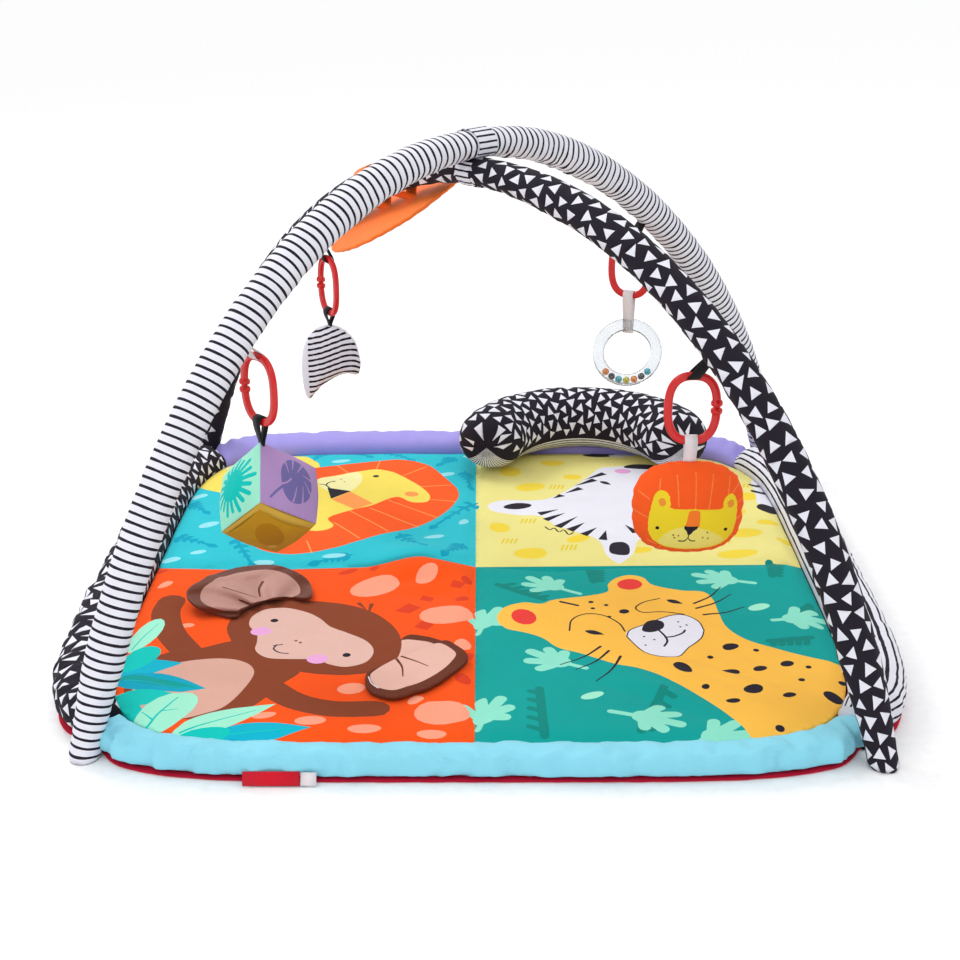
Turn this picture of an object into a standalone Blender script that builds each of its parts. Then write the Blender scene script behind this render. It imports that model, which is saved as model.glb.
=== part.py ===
"""Activity play gym: a padded mat, two crossed fabric-covered arches and the toys that hang from them.

Metres, +Z up. The origin is on the floor under the middle of the mat, +X is to the right and +Y to the back.
"""

import math

import bmesh
import bpy
from mathutils import Matrix, Vector

# Mat: a rounded square, drawn as superellipses, with a notch at each corner where an arch foot stands.
GAP = 0.0005
BACKING_HALF, BACKING_POWER, BACKING_THICK = 0.432, 5.2, 0.0025
BORDER_HALF, BORDER_POWER = 0.427, 5.2
PANEL_HALF_X, PANEL_HALF_Y, PANEL_POWER, PANEL_SHIFT = 0.370, 0.384, 6.0, -0.0130
PANEL_PLAY = 0.0024
NOTCH_DEPTH, NOTCH_SPREAD = 0.029, math.radians(4.2)
FILLING_TOP = 0.0160
PANEL_TOP = 0.0230
SIDE_BOLSTER_HEIGHT = 0.044
FRONT_BORDER_HEIGHT = 0.028
BACK_BORDER_HEIGHT = 0.034
SEAM_ANGLE = math.radians(44.5)

# Arches: each half is one cubic Bezier from a foot on the floor to the crossing.
# A half's shape is its lean at the foot, the reach of its two Bezier handles and its sideways bow.
CROSSING = (-0.005, -0.003)
STRIPED_TOP, TRIANGLE_TOP = 0.506, 0.478
STRIPED_FEET = ((-0.370, -0.386), (0.391, 0.388))
TRIANGLE_FEET = ((0.374, -0.401), (-0.379, 0.389))
STRIPED_HALVES = (
    (math.radians(14.8), 0.250, 0.286, math.radians(-2.5)),
    (math.radians(10.8), 0.248, 0.236, math.radians(1.0)),
)
TRIANGLE_HALVES = (
    (math.radians(15.2), 0.257, 0.310, math.radians(3.2)),
    (math.radians(12.0), 0.229, 0.241, math.radians(0.5)),
)
HALF_SPANS = 12
SLEEVE_SIDES = 8
SLEEVE_RADIUS, SLEEVE_WALL = 0.0188, 0.0030
FOOT_RADIUS, FOOT_TAPER = 0.0142, 0.11
FOAM_GAP = 0.0008
ROD_RADIUS, ROD_GAP = 0.0045, 0.0007
CROSSING_SQUASH, CROSSING_SQUASH_LENGTH = 0.22, 0.085
FOOT_CAP_TOP = 0.0070

# Links: a plastic oval with two snap nubs on one long side.
LINK_WIDTH, LINK_HEIGHT, LINK_WIRE = 0.055, 0.0735, 0.0042
LINK_POWER = 2.6
NUB_SWELL, NUB_SPREAD = 0.0017, 0.10
NUB_ANGLES = (math.radians(-4.0), math.radians(11.0))
RIBBON_PLAY, RIBBON_THICK = 0.0017, 0.0010

# Where each toy hangs: the top of its link, the turn of the link's plane, and its ribbons' widths.
LION_HANG, LION_TURN = (0.2035, -0.2300, 0.3285), 0.0
CUBE_HANG, CUBE_TURN = (-0.2125, -0.2180, 0.3440), math.radians(-46.0)
RING_HANG, RING_TURN = (0.1790, 0.1840, 0.3640), math.radians(-25.0)
LEAF_HANG, LEAF_TURN = (-0.1810, 0.1800, 0.3440), math.radians(-62.0)
RIBBON_WIDTH = 0.012

LION_WIDTH, LION_HEIGHT, LION_DEPTH, LION_TOP = 0.114, 0.098, 0.048, 0.2390
CUBE_SIDE, CUBE_ROUND, CUBE_TOP, CUBE_SHIFT = 0.0735, 0.008, 0.2500, 0.004
CUBE_FACING, CUBE_ROLL = math.radians(-98.0), math.radians(5.0)
RING_RADIUS, RING_TUBE, RING_WALL, RING_CENTRE = 0.0352, 0.0073, 0.0015, 0.2228
RING_STATIONS = 24
BEAD_RADIUS, BEAD_STEP = 0.0043, math.radians(15.5)
BEAD_COUNT = 7
LEAF_WIDTH, LEAF_DROP, LEAF_DEPTH, LEAF_TOP = 0.072, 0.094, 0.030, 0.2590

# Mirror: a fabric-backed disc that two loops round the triangle arch hold below it, rolled towards the back.
# Stations are places along the arch's route, in spans.
MIRROR_STATION, MIRROR_LOOP_SPREAD = 14.46, 0.37
MIRROR_RADIUS, MIRROR_THICK = 0.0924, 0.0045
FILM_RADIUS, FILM_THICK = 0.083, 0.0010
MIRROR_ROLL, MIRROR_DROP = math.radians(22.7), 0.0342
MIRROR_LOOP_PLAY, MIRROR_LOOP_THICK, MIRROR_LOOP_HALF_WIDTH = 0.0020, 0.0012, 0.009

# Pillow: a crescent tube lying on the back of the mat, open to the front.
PILLOW_CENTRE, PILLOW_ARC_RADIUS = (0.136, 0.258), 0.128
PILLOW_HALF_ANGLE, PILLOW_END = math.radians(69.0), math.radians(19.0)
PILLOW_WIDTH, PILLOW_HEIGHT, PILLOW_BOTTOM = 0.088, 0.077, 0.0350

# Ear flaps: sewn to the panel along a straight root, free to lift.
# Each has its root's middle, the root's direction in degrees, its width and its length.
EAR_THICK, EAR_POWER = 0.0030, 2.4
EARS = {
    "ear_flap_left": ((-0.2255, -0.1405), 33.0, 0.128, 0.090),
    "ear_flap_right": ((-0.0940, -0.2470), -138.0, 0.116, 0.086),
}


def clear_scene():
    for obj in list(bpy.data.objects):
        bpy.data.objects.remove(obj, do_unlink=True)


def material(name, colour, roughness, metallic=0.0):
    mat = bpy.data.materials.get(name)
    if mat is None:
        mat = bpy.data.materials.new(name)
        mat.use_nodes = True
        shader = mat.node_tree.nodes["Principled BSDF"]
        shader.inputs["Base Color"].default_value = (*colour, 1.0)
        shader.inputs["Roughness"].default_value = roughness
        shader.inputs["Metallic"].default_value = metallic
    return mat


def stripe_fabric():
    return material("stripe_fabric", (0.75, 0.74, 0.72), 0.9)


def triangle_fabric():
    return material("triangle_fabric", (0.03, 0.027, 0.035), 0.9)


def red_plastic():
    return material("red_plastic", (0.80, 0.01, 0.008), 0.3)


def white_ribbon():
    return material("white_ribbon", (0.82, 0.80, 0.80), 0.7)


def black_ribbon():
    return material("black_ribbon", (0.015, 0.015, 0.017), 0.7)


def pivot(name, location, parent=None):
    """An empty on a joint's axis. Its pieces and any further pivots are its children."""
    empty = bpy.data.objects.new(name, None)
    bpy.context.scene.collection.objects.link(empty)
    empty.parent = parent
    empty.location = Vector(location) - world_place(parent)
    empty.empty_display_size = 0.02
    return empty


def world_place(obj):
    """Where an unturned object under unturned parents sits in the world."""
    place = Vector((0.0, 0.0, 0.0))
    while obj is not None:
        place += obj.location
        obj = obj.parent
    return place


def add(name, bm, mat, parent=None):
    """Makes a node of a mesh drawn in world places, with its origin on its parent pivot."""
    bmesh.ops.recalc_face_normals(bm, faces=bm.faces)
    bmesh.ops.translate(bm, verts=bm.verts, vec=-world_place(parent))
    mesh = bpy.data.meshes.new(name)
    bm.to_mesh(mesh)
    bm.free()
    mesh.shade_smooth()
    mesh.set_sharp_from_angle(angle=math.radians(40.0))
    mesh.materials.append(mat)
    obj = bpy.data.objects.new(name, mesh)
    bpy.context.scene.collection.objects.link(obj)
    obj.parent = parent
    return obj


def loft(rings, closed=False):
    """Joins rings of equally many points. Without closed, the first and last ring are filled in."""
    bm = bmesh.new()
    loops = [[bm.verts.new(point) for point in ring] for ring in rings]
    pairs = list(zip(loops, loops[1:]))
    if closed:
        pairs.append((loops[-1], loops[0]))
    for first, second in pairs:
        for i in range(len(first)):
            j = (i + 1) % len(first)
            bm.faces.new((first[i], first[j], second[j], second[i]))
    if not closed:
        bm.faces.new(loops[0])
        bm.faces.new(loops[-1])
    return bm


def superellipse(half_x, half_y, power, angle):
    """The point of a superellipse that a ray from the centre meets at this angle."""
    c, s = math.cos(angle), math.sin(angle)
    reach = (abs(c / half_x) ** power + abs(s / half_y) ** power) ** (-1.0 / power)
    return Vector((reach * c, reach * s, 0.0))


def notched(half, power, angle):
    """The mat's outer edge: a superellipse, drawn in near each diagonal to let an arch foot past."""
    edge = superellipse(half, half, power, angle)
    off_diagonal = (angle % (math.pi / 2.0) - math.pi / 4.0) / NOTCH_SPREAD
    return edge - edge.normalized() * NOTCH_DEPTH * math.exp(-(off_diagonal**2))


def plate(outline, bottom, top):
    return loft([[p + Vector((0.0, 0.0, z)) for p in outline] for z in (bottom, top)])


def panel_edge(margin, angle):
    """A point of the panel's outline, drawn in by the margin. The panel sits a little in front of the middle."""
    edge = superellipse(PANEL_HALF_X - margin, PANEL_HALF_Y - margin, PANEL_POWER, angle)
    return edge + Vector((0.0, PANEL_SHIFT, 0.0))


def panel_outline(margin, sides=64):
    return [panel_edge(margin, math.tau * i / sides) for i in range(sides)]


def mat_plates():
    red = material("backing_fabric", (0.55, 0.01, 0.05), 0.85)
    edge = [notched(BACKING_HALF, BACKING_POWER, math.tau * i / 96) for i in range(96)]
    add("mat_backing", plate(edge, 0.0, BACKING_THICK), red)
    wadding = material("wadding", (0.85, 0.84, 0.80), 0.95)
    add("mat_filling", plate(panel_outline(0.004), BACKING_THICK + GAP, FILLING_TOP), wadding)
    printed = material("panel_fabric", (0.85, 0.35, 0.12), 0.8)
    add("mat_panel", plate(panel_outline(0.0), FILLING_TOP + GAP, PANEL_TOP), printed)


def border_section(angle, height, points=10):
    """One cross-section of a padded border, between the panel's edge and the mat's edge."""
    inner = panel_edge(-PANEL_PLAY, angle)
    outer = notched(BORDER_HALF, BORDER_POWER, angle)
    floor = BACKING_THICK + GAP
    middle = (inner + outer) / 2.0
    half_width = (outer - inner) / 2.0
    half_height = (height - floor) / 2.0
    ring = []
    for i in range(points):
        turn = math.tau * (i + 0.5) / points
        across = half_width * math.copysign(abs(math.cos(turn)) ** 0.6, math.cos(turn))
        rise = half_height * math.copysign(abs(math.sin(turn)) ** 0.6, math.sin(turn))
        ring.append(middle + across + Vector((0.0, 0.0, floor + half_height + rise)))
    return ring


def border(name, start, end, height, mat, spans=20):
    seam = 0.0012
    angles = [start + seam + (end - start - 2.0 * seam) * i / spans for i in range(spans + 1)]
    add(name, loft([border_section(angle, height) for angle in angles]), mat)


def borders():
    quarter = math.pi / 2.0
    blue = material("blue_satin", (0.20, 0.63, 0.80), 0.5)
    lilac = material("lilac_satin", (0.30, 0.22, 0.62), 0.5)
    side = SEAM_ANGLE
    border("border_right", -side, side, SIDE_BOLSTER_HEIGHT, stripe_fabric())
    border("border_back", side, 2.0 * quarter - side, BACK_BORDER_HEIGHT, lilac)
    border("border_left", 2.0 * quarter - side, 2.0 * quarter + side, SIDE_BOLSTER_HEIGHT, triangle_fabric())
    border("border_front", 2.0 * quarter + side, 4.0 * quarter - side, FRONT_BORDER_HEIGHT, blue)


def box_between(low, high):
    bm = bmesh.new()
    bmesh.ops.create_cube(bm, size=1.0)
    low, high = Vector(low), Vector(high)
    bmesh.ops.scale(bm, verts=bm.verts, vec=high - low)
    bmesh.ops.translate(bm, verts=bm.verts, vec=(high + low) / 2.0)
    return bm


def corner_tabs():
    """Webbing tabs from the mat's corners towards the arch feet."""
    webbing = material("webbing", (0.02, 0.02, 0.022), 0.8)
    inner, outer, half_width = 0.5045, 0.5155, 0.008
    for name, degrees in (("back_right", 45), ("back_left", 135), ("front_left", 225), ("front_right", 315)):
        bm = box_between((inner, -half_width, BACKING_THICK + GAP), (outer, half_width, BACKING_THICK + 0.0025))
        bmesh.ops.rotate(bm, verts=bm.verts, cent=(0, 0, 0), matrix=Matrix.Rotation(math.radians(degrees), 3, "Z"))
        add(f"corner_tab_{name}", bm, webbing)


def edge_labels():
    """Blank sewn labels that stand out of the front seam."""
    front = -BACKING_HALF
    floor = BACKING_THICK + GAP
    red = material("label_red", (0.75, 0.02, 0.05), 0.7)
    add("side_label", box_between((-0.2200, front, floor), (-0.1680, front + 0.0012, 0.0165)), red)
    add("care_label", box_between((-0.1672, front, floor), (-0.1530, front + 0.0012, 0.0155)), white_ribbon())


def half_arch(foot, far_foot, top, shape):
    """Points from a foot to the crossing, on the Bezier that a bent rod follows."""
    lean, foot_handle, top_handle, bow = shape
    start = Vector((*foot, 0.0))
    end = Vector((*CROSSING, top))
    along = (Vector((*far_foot, 0.0)) - start).normalized()
    inward = (end - start).to_2d().normalized().to_3d()
    sideways = Vector((-inward.y, inward.x, 0.0))
    rise = Vector((0.0, 0.0, math.cos(lean))) + inward * math.sin(lean) + sideways * math.sin(bow)
    knots = (start, start + rise * foot_handle, end - along * top_handle, end)
    points = []
    for i in range(HALF_SPANS + 1):
        t = i / HALF_SPANS
        weights = ((1 - t) ** 3, 3 * t * (1 - t) ** 2, 3 * t * t * (1 - t), t**3)
        points.append(sum((k * w for k, w in zip(knots, weights)), Vector()))
    return points


def arch_route(feet, top, halves):
    front = half_arch(feet[0], feet[1], top, halves[0])
    back = half_arch(feet[1], feet[0], top, halves[1])
    return front + back[-2::-1]


def tangents(route):
    found = []
    for i in range(len(route)):
        before, after = route[max(i - 1, 0)], route[min(i + 1, len(route) - 1)]
        found.append((after - before).normalized())
    return found


def smooth_step(x):
    x = min(max(x, 0.0), 1.0)
    return x * x * (3.0 - 2.0 * x)


def arch_rings(route, radius, floor, sides=SLEEVE_SIDES):
    """Rings along an arch. They narrow at the feet, flatten at the crossing and end on the floor level given."""
    crossing = Vector((*CROSSING, route[len(route) // 2].z))
    plan_side = Vector((0, 0, 1)).cross(route[-1] - route[0]).normalized()
    rings = []
    for i, (point, tangent) in enumerate(zip(route, tangents(route))):
        up = plan_side.cross(tangent).normalized() * -1.0
        side = tangent.cross(up)
        foot = FOOT_RADIUS / SLEEVE_RADIUS
        taper = foot + (1.0 - foot) * smooth_step(point.z / FOOT_TAPER)
        near = math.exp(-(((point - crossing).length / CROSSING_SQUASH_LENGTH) ** 2))
        wide = radius * taper
        high = wide * (1.0 - CROSSING_SQUASH * near)
        ring = []
        for k in range(sides):
            turn = math.tau * (k + 0.5) / sides
            place = point + side * (wide * math.cos(turn)) + up * (high * math.sin(turn))
            if i in (0, len(route) - 1):
                place += tangent * ((floor - place.z) / tangent.z)
            ring.append(place)
        rings.append(ring)
    return rings


def hollow(outer, inner):
    return loft(outer + inner[::-1], closed=True)


def foot_cap(name, rings, mat, parent, end):
    """A plug inside the end of the sleeve, under the foam and the rod."""
    floor_ring = rings[0] if end == 0 else rings[-1]
    next_ring = rings[1] if end == 0 else rings[-2]
    centre = sum(floor_ring, Vector()) / len(floor_ring)
    low, high = [], []
    for point, above in zip(floor_ring, next_ring):
        inset = point + (centre - point).normalized() * GAP
        run = (above - point).normalized()
        low.append(inset)
        high.append(inset + run * ((FOOT_CAP_TOP - inset.z) / run.z))
    add(name, loft([low, high]), mat, parent)


def arch(name, route, fabric, parent):
    """Sleeve, foam tube and rod, each inside the last, and a plug in each foot."""
    inner_radius = SLEEVE_RADIUS - SLEEVE_WALL
    bore = ROD_RADIUS + ROD_GAP
    sleeve_inner = arch_rings(route, inner_radius, 0.0)
    add(f"{name}_sleeve", hollow(arch_rings(route, SLEEVE_RADIUS, 0.0), sleeve_inner), fabric, parent)
    foam = material("foam", (0.25, 0.25, 0.27), 0.95)
    foam_floor = FOOT_CAP_TOP + 2.0 * GAP
    foam_outer = arch_rings(route, inner_radius - FOAM_GAP, foam_floor)
    add(f"{name}_foam", hollow(foam_outer, arch_rings(route, bore, foam_floor)), foam, parent)
    fibreglass = material("fibreglass", (0.80, 0.78, 0.70), 0.4)
    add(f"{name}_rod", loft(arch_rings(route, ROD_RADIUS, foam_floor)), fibreglass, parent)
    plastic = material("black_plastic", (0.02, 0.02, 0.02), 0.4)
    foot_cap(f"{name}_cap_front", sleeve_inner, plastic, parent, 0)
    foot_cap(f"{name}_cap_back", sleeve_inner, plastic, parent, 1)


def crossing_band(name, route, start_degrees, end_degrees, mat, parent):
    """A band round part of a sleeve at the crossing, open on the side of the other arch."""
    middle = len(route) // 2
    centre = route[middle]
    along = (route[middle + 1] - route[middle - 1]).to_2d().normalized().to_3d()
    side = along.cross(Vector((0, 0, 1)))
    inner_wide = SLEEVE_RADIUS + 0.0010
    inner_high = SLEEVE_RADIUS * (1.0 - CROSSING_SQUASH) + 0.0018
    thick, half_width, steps = 0.0012, 0.0135, 12
    rings = []
    for i in range(steps + 1):
        turn = math.radians(start_degrees + (end_degrees - start_degrees) * i / steps)
        out = side * math.cos(turn) * inner_wide + Vector((0, 0, math.sin(turn) * inner_high))
        push = (side * math.cos(turn) + Vector((0, 0, math.sin(turn)))) * thick
        inner, outer = centre + out, centre + out + push
        rings.append(
            [inner - along * half_width, inner + along * half_width, outer + along * half_width, outer - along * half_width]
        )
    add(name, loft(rings), mat, parent)


def link_point(turn_angle, top, angle):
    """A point of a link's centreline, hung from its top, and the directions across it."""
    half_x = LINK_WIDTH / 2.0 - LINK_WIRE
    half_z = LINK_HEIGHT / 2.0 - LINK_WIRE
    flat = superellipse(half_x, half_z, LINK_POWER, angle)
    across = Vector((math.cos(turn_angle), math.sin(turn_angle), 0.0))
    centre = Vector(top) - Vector((0.0, 0.0, LINK_HEIGHT / 2.0))
    return centre + across * flat.x + Vector((0.0, 0.0, flat.y)), centre


def link(name, top, turn_angle, parent, stations=28, sides=8):
    normal = Vector((-math.sin(turn_angle), math.cos(turn_angle), 0.0))
    rings = []
    for i in range(stations):
        angle = math.tau * i / stations
        point, centre = link_point(turn_angle, top, angle)
        ahead, _ = link_point(turn_angle, top, angle + 0.01)
        outward = (ahead - point).normalized().cross(normal)
        if outward.dot(point - centre) < 0.0:
            outward = -outward
        nubs = sum(math.exp(-(((angle - at + math.pi) % math.tau - math.pi) / NUB_SPREAD) ** 2) for at in NUB_ANGLES)
        radius = LINK_WIRE + NUB_SWELL * min(nubs, 1.0)
        turns = [math.tau * k / sides for k in range(sides)]
        rings.append([point + outward * radius * math.cos(t) + normal * radius * math.sin(t) for t in turns])
    add(name, loft(rings, closed=True), red_plastic(), parent)


def ribbon(name, bar, turn_angle, reach, mat, parent, sides=14):
    """A ribbon looped round a link's bar: a band, drawn out into a flat tab that ends `reach` above or below."""
    across = Vector((math.cos(turn_angle), math.sin(turn_angle), 0.0))
    normal = Vector((-math.sin(turn_angle), math.cos(turn_angle), 0.0))
    bore = LINK_WIRE + RIBBON_PLAY
    band = bore + RIBBON_THICK
    upward = math.copysign(1.0, reach)
    outer, inner = [], []
    for k in range(sides):
        turn = math.tau * (k + 0.5) / sides
        x, z = math.sin(turn), math.cos(turn) * upward
        inner.append((bore * x, bore * z))
        stretched = abs(math.cos(turn)) > 0.97 and z * upward > 0.0
        outer.append((RIBBON_THICK * math.copysign(1.0, x), reach) if stretched else (band * x, band * z))
    half = RIBBON_WIDTH / 2.0
    rings = []
    for profile, shift in ((outer, -half), (outer, half), (inner, half), (inner, -half)):
        rings.append([Vector(bar) + normal * x + across * shift + Vector((0.0, 0.0, z)) for x, z in profile])
    add(name, loft(rings, closed=True), mat, parent)


def hanging_set(name, top, turn_angle, arch_pivot, loop_mat, ribbon_mat, loop_reach, toy_top):
    """The loop on the arch, the link and the toy's ribbon. Returns the pivot that the toy hangs on."""
    upper_bar = Vector(top) - Vector((0.0, 0.0, LINK_WIRE))
    lower_bar = Vector(top) - Vector((0.0, 0.0, LINK_HEIGHT - LINK_WIRE))
    ribbon(f"{name}_loop", upper_bar, turn_angle, loop_reach, loop_mat, arch_pivot)
    link_pivot = pivot(f"{name}_link_pivot", upper_bar, arch_pivot)
    link(f"{name}_link", top, turn_angle, link_pivot)
    toy_pivot = pivot(f"{name}_toy_pivot", lower_bar, link_pivot)
    ribbon(f"{name}_ribbon", lower_bar, turn_angle, toy_top + 2.0 * GAP - lower_bar.z, ribbon_mat, toy_pivot)
    return toy_pivot


def lion_toy(parent):
    centre = Vector((LION_HANG[0], LION_HANG[1], LION_TOP - LION_HEIGHT / 2.0))
    bm = bmesh.new()
    bmesh.ops.create_uvsphere(bm, u_segments=18, v_segments=9, radius=0.5)
    bmesh.ops.rotate(bm, verts=bm.verts, cent=(0, 0, 0), matrix=Matrix.Rotation(math.pi / 2.0, 3, "X"))
    bmesh.ops.scale(bm, verts=bm.verts, vec=(LION_WIDTH, LION_DEPTH, LION_HEIGHT))
    bmesh.ops.translate(bm, verts=bm.verts, vec=centre)
    add("lion_head", bm, material("lion_orange", (0.85, 0.10, 0.02), 0.85), parent)


def cube_toy(parent):
    """A soft cube hung by one corner, with one of the edges from that corner towards the front."""
    fall, spread = -math.sqrt(1.0 / 3.0), math.sqrt(2.0 / 3.0)
    headings = [CUBE_FACING + math.tau * k / 3.0 for k in range(3)]
    edges = [Vector((spread * math.cos(a), spread * math.sin(a), fall)) for a in headings]
    turn = Matrix(edges).transposed()
    bm = bmesh.new()
    bmesh.ops.create_cube(bm, size=CUBE_SIDE)
    bmesh.ops.bevel(
        bm, geom=bm.edges[:] + bm.verts[:], offset=CUBE_ROUND, segments=2, affect="EDGES", profile=0.5
    )
    bmesh.ops.rotate(bm, verts=bm.verts, cent=(0, 0, 0), matrix=Matrix.Rotation(-CUBE_ROLL, 3, "Y") @ turn)
    highest = max(v.co.z for v in bm.verts)
    bmesh.ops.translate(bm, verts=bm.verts, vec=(CUBE_HANG[0] + CUBE_SHIFT, CUBE_HANG[1], CUBE_TOP - highest))
    add("cube_body", bm, material("cube_mint", (0.25, 0.75, 0.62), 0.85), parent)


def ring_shell(name, side, mat, parent, points=5):
    """Half of the hollow ring, split in the ring's own plane: an open channel on the given side."""
    centre = Vector((RING_HANG[0], RING_HANG[1], RING_CENTRE))
    seam = 0.0002
    turns = [math.pi * k / points for k in range(points + 1)]
    outer = [(RING_TUBE * math.cos(t), RING_TUBE * math.sin(t)) for t in turns]
    inner = [((RING_TUBE - RING_WALL) * math.cos(t), (RING_TUBE - RING_WALL) * math.sin(t)) for t in turns]
    section = outer + inner[::-1]
    rings = []
    for i in range(RING_STATIONS):
        angle = math.tau * i / RING_STATIONS
        outward = Vector((math.cos(angle), 0.0, math.sin(angle)))
        rings.append(
            [centre + outward * (RING_RADIUS + u) + Vector((0.0, side * (v + seam), 0.0)) for u, v in section]
        )
    add(name, loft(rings, closed=True), mat, parent)


def ring_beads(parent):
    centre = Vector((RING_HANG[0], RING_HANG[1], RING_CENTRE))
    roll_pivot = pivot("ring_bead_pivot", centre, parent)
    colours = ((0.90, 0.25, 0.02), (0.02, 0.02, 0.02), (0.05, 0.50, 0.60), (0.80, 0.70, 0.05))
    for i in range(BEAD_COUNT):
        angle = BEAD_STEP * (i - (BEAD_COUNT - 1) / 2.0)
        place = centre + Vector((math.sin(angle), 0.0, -math.cos(angle))) * RING_RADIUS
        bm = bmesh.new()
        bmesh.ops.create_icosphere(bm, subdivisions=1, radius=BEAD_RADIUS)
        bmesh.ops.translate(bm, verts=bm.verts, vec=place)
        shade = i % len(colours)
        add(f"ring_bead_{i + 1}", bm, material(f"bead_{shade + 1}", colours[shade], 0.35), roll_pivot)


def leaf_toy(parent):
    """A puffy half-moon: a domed top, a long tip at the lower left and a hollowed lower edge."""
    half = LEAF_WIDTH / 2.0
    dome = [(half * math.cos(math.radians(a)), half * math.sin(math.radians(a))) for a in range(0, 181, 30)]
    bottom = half - LEAF_DROP
    skirt = [(-half * 0.96, bottom * 0.55), (-half * 0.83, bottom), (-half * 0.20, bottom * 0.55), (half * 0.55, -0.026)]
    outline = dome + skirt + [(half * 0.93, -0.026)]
    middle = Vector((0.0, 0.0, LEAF_TOP - half))
    heart = Vector((-0.002, 0.0, -0.006))
    rings = []
    for depth, size in ((-0.5, 0.35), (-0.36, 0.78), (0.0, 1.0), (0.36, 0.78), (0.5, 0.35)):
        ring = []
        for x, z in outline:
            spread = heart + (Vector((x, 0.0, z)) - heart) * size
            ring.append(Vector((LEAF_HANG[0], LEAF_HANG[1] + LEAF_DEPTH * depth, 0.0)) + middle + spread)
        rings.append(ring)
    add("leaf_body", loft(rings), stripe_fabric(), parent)


def place_on(route, station):
    index = int(station)
    return route[index].lerp(route[index + 1], station - index)


def mirror_frame(route):
    """The disc's directions: up the arch, towards the front left, and its normal."""
    along = (route[int(MIRROR_STATION)] - route[int(MIRROR_STATION) + 1]).normalized()
    across = Vector((along.y, -along.x, 0.0)).normalized()
    level_normal = across.cross(along)
    roll = across * math.cos(MIRROR_ROLL) - level_normal * math.sin(MIRROR_ROLL)
    normal = level_normal * math.cos(MIRROR_ROLL) + across * math.sin(MIRROR_ROLL)
    return along, roll, normal


def disc(centre, u, w, normal, radius, low, high, sides=32):
    rings = []
    for level in (low, high):
        turns = [math.tau * k / sides for k in range(sides)]
        rings.append([centre + (u * math.cos(t) + w * math.sin(t)) * radius + normal * level for t in turns])
    return loft(rings)


def mirror_loop(name, place, reach, directions, mat, parent, sides=18):
    """A loop round the sleeve, drawn out into a tab that reaches down to the disc."""
    along, roll, normal = directions
    bore = SLEEVE_RADIUS + MIRROR_LOOP_PLAY
    band = bore + MIRROR_LOOP_THICK
    inner, outer = [], []
    for k in range(sides):
        turn = math.tau * (k + 0.5) / sides
        u, v = math.sin(turn), -math.cos(turn)
        inner.append(place + (roll * u + normal * v) * bore)
        stretched = k in (0, sides - 1)
        tab = roll * math.copysign(MIRROR_LOOP_THICK, u) - normal * reach
        outer.append(place + (tab if stretched else (roll * u + normal * v) * band))
    half = along * MIRROR_LOOP_HALF_WIDTH
    rings = []
    for profile, shift in ((outer, -half), (outer, half), (inner, half), (inner, -half)):
        rings.append([point + shift for point in profile])
    add(name, loft(rings, closed=True), mat, parent)


def mirror(route, arch_pivot):
    place = place_on(route, MIRROR_STATION)
    along, roll, normal = mirror_frame(route)
    centre = place - normal * MIRROR_DROP
    mirror_pivot = pivot("mirror_pivot", place, arch_pivot)
    orange = material("orange_fabric", (0.95, 0.28, 0.03), 0.85)
    backing = disc(centre, along, roll, normal, MIRROR_RADIUS, -MIRROR_THICK / 2.0, MIRROR_THICK / 2.0)
    add("mirror_backing", backing, orange, mirror_pivot)
    film_top = -MIRROR_THICK / 2.0 - GAP
    film = disc(centre, along, roll, normal, FILM_RADIUS, film_top - FILM_THICK, film_top)
    add("mirror_film", film, material("mirror_film", (0.85, 0.86, 0.88), 0.05, 1.0), mirror_pivot)
    for name, side in (("low", 1.0), ("high", -1.0)):
        above = place_on(route, MIRROR_STATION + side * MIRROR_LOOP_SPREAD)
        reach = (above - centre).dot(normal) - MIRROR_THICK / 2.0 - GAP
        mirror_loop(f"mirror_loop_{name}", above, reach, (along, roll, normal), orange, mirror_pivot)


def pillow():
    """The crescent tummy pillow, with rounded ends."""
    lift_pivot = pivot("pillow_pivot", (*PILLOW_CENTRE, PILLOW_BOTTOM))
    reach = PILLOW_HALF_ANGLE + PILLOW_END
    spans, points = 16, 12
    rings = []
    for i in range(spans + 1):
        # Cosine spacing puts more sections in the rounded ends.
        swing = -math.cos(math.pi * (i + 0.35) / (spans + 0.7)) * reach
        past = max(abs(swing) - PILLOW_HALF_ANGLE, 0.0) / PILLOW_END
        size = max(math.sqrt(max(1.0 - past * past, 0.0)), 0.25)
        angle = math.pi / 2.0 - swing
        outward = Vector((math.cos(angle), math.sin(angle), 0.0))
        middle = Vector((*PILLOW_CENTRE, PILLOW_BOTTOM + PILLOW_HEIGHT / 2.0)) + outward * PILLOW_ARC_RADIUS
        ring = []
        for k in range(points):
            turn = math.tau * (k + 0.5) / points
            across = outward * (PILLOW_WIDTH / 2.0 * size * math.cos(turn))
            ring.append(middle + across + Vector((0.0, 0.0, PILLOW_HEIGHT / 2.0 * size * math.sin(turn))))
        rings.append(ring)
    add("tummy_pillow", loft(rings), triangle_fabric(), lift_pivot)


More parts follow.
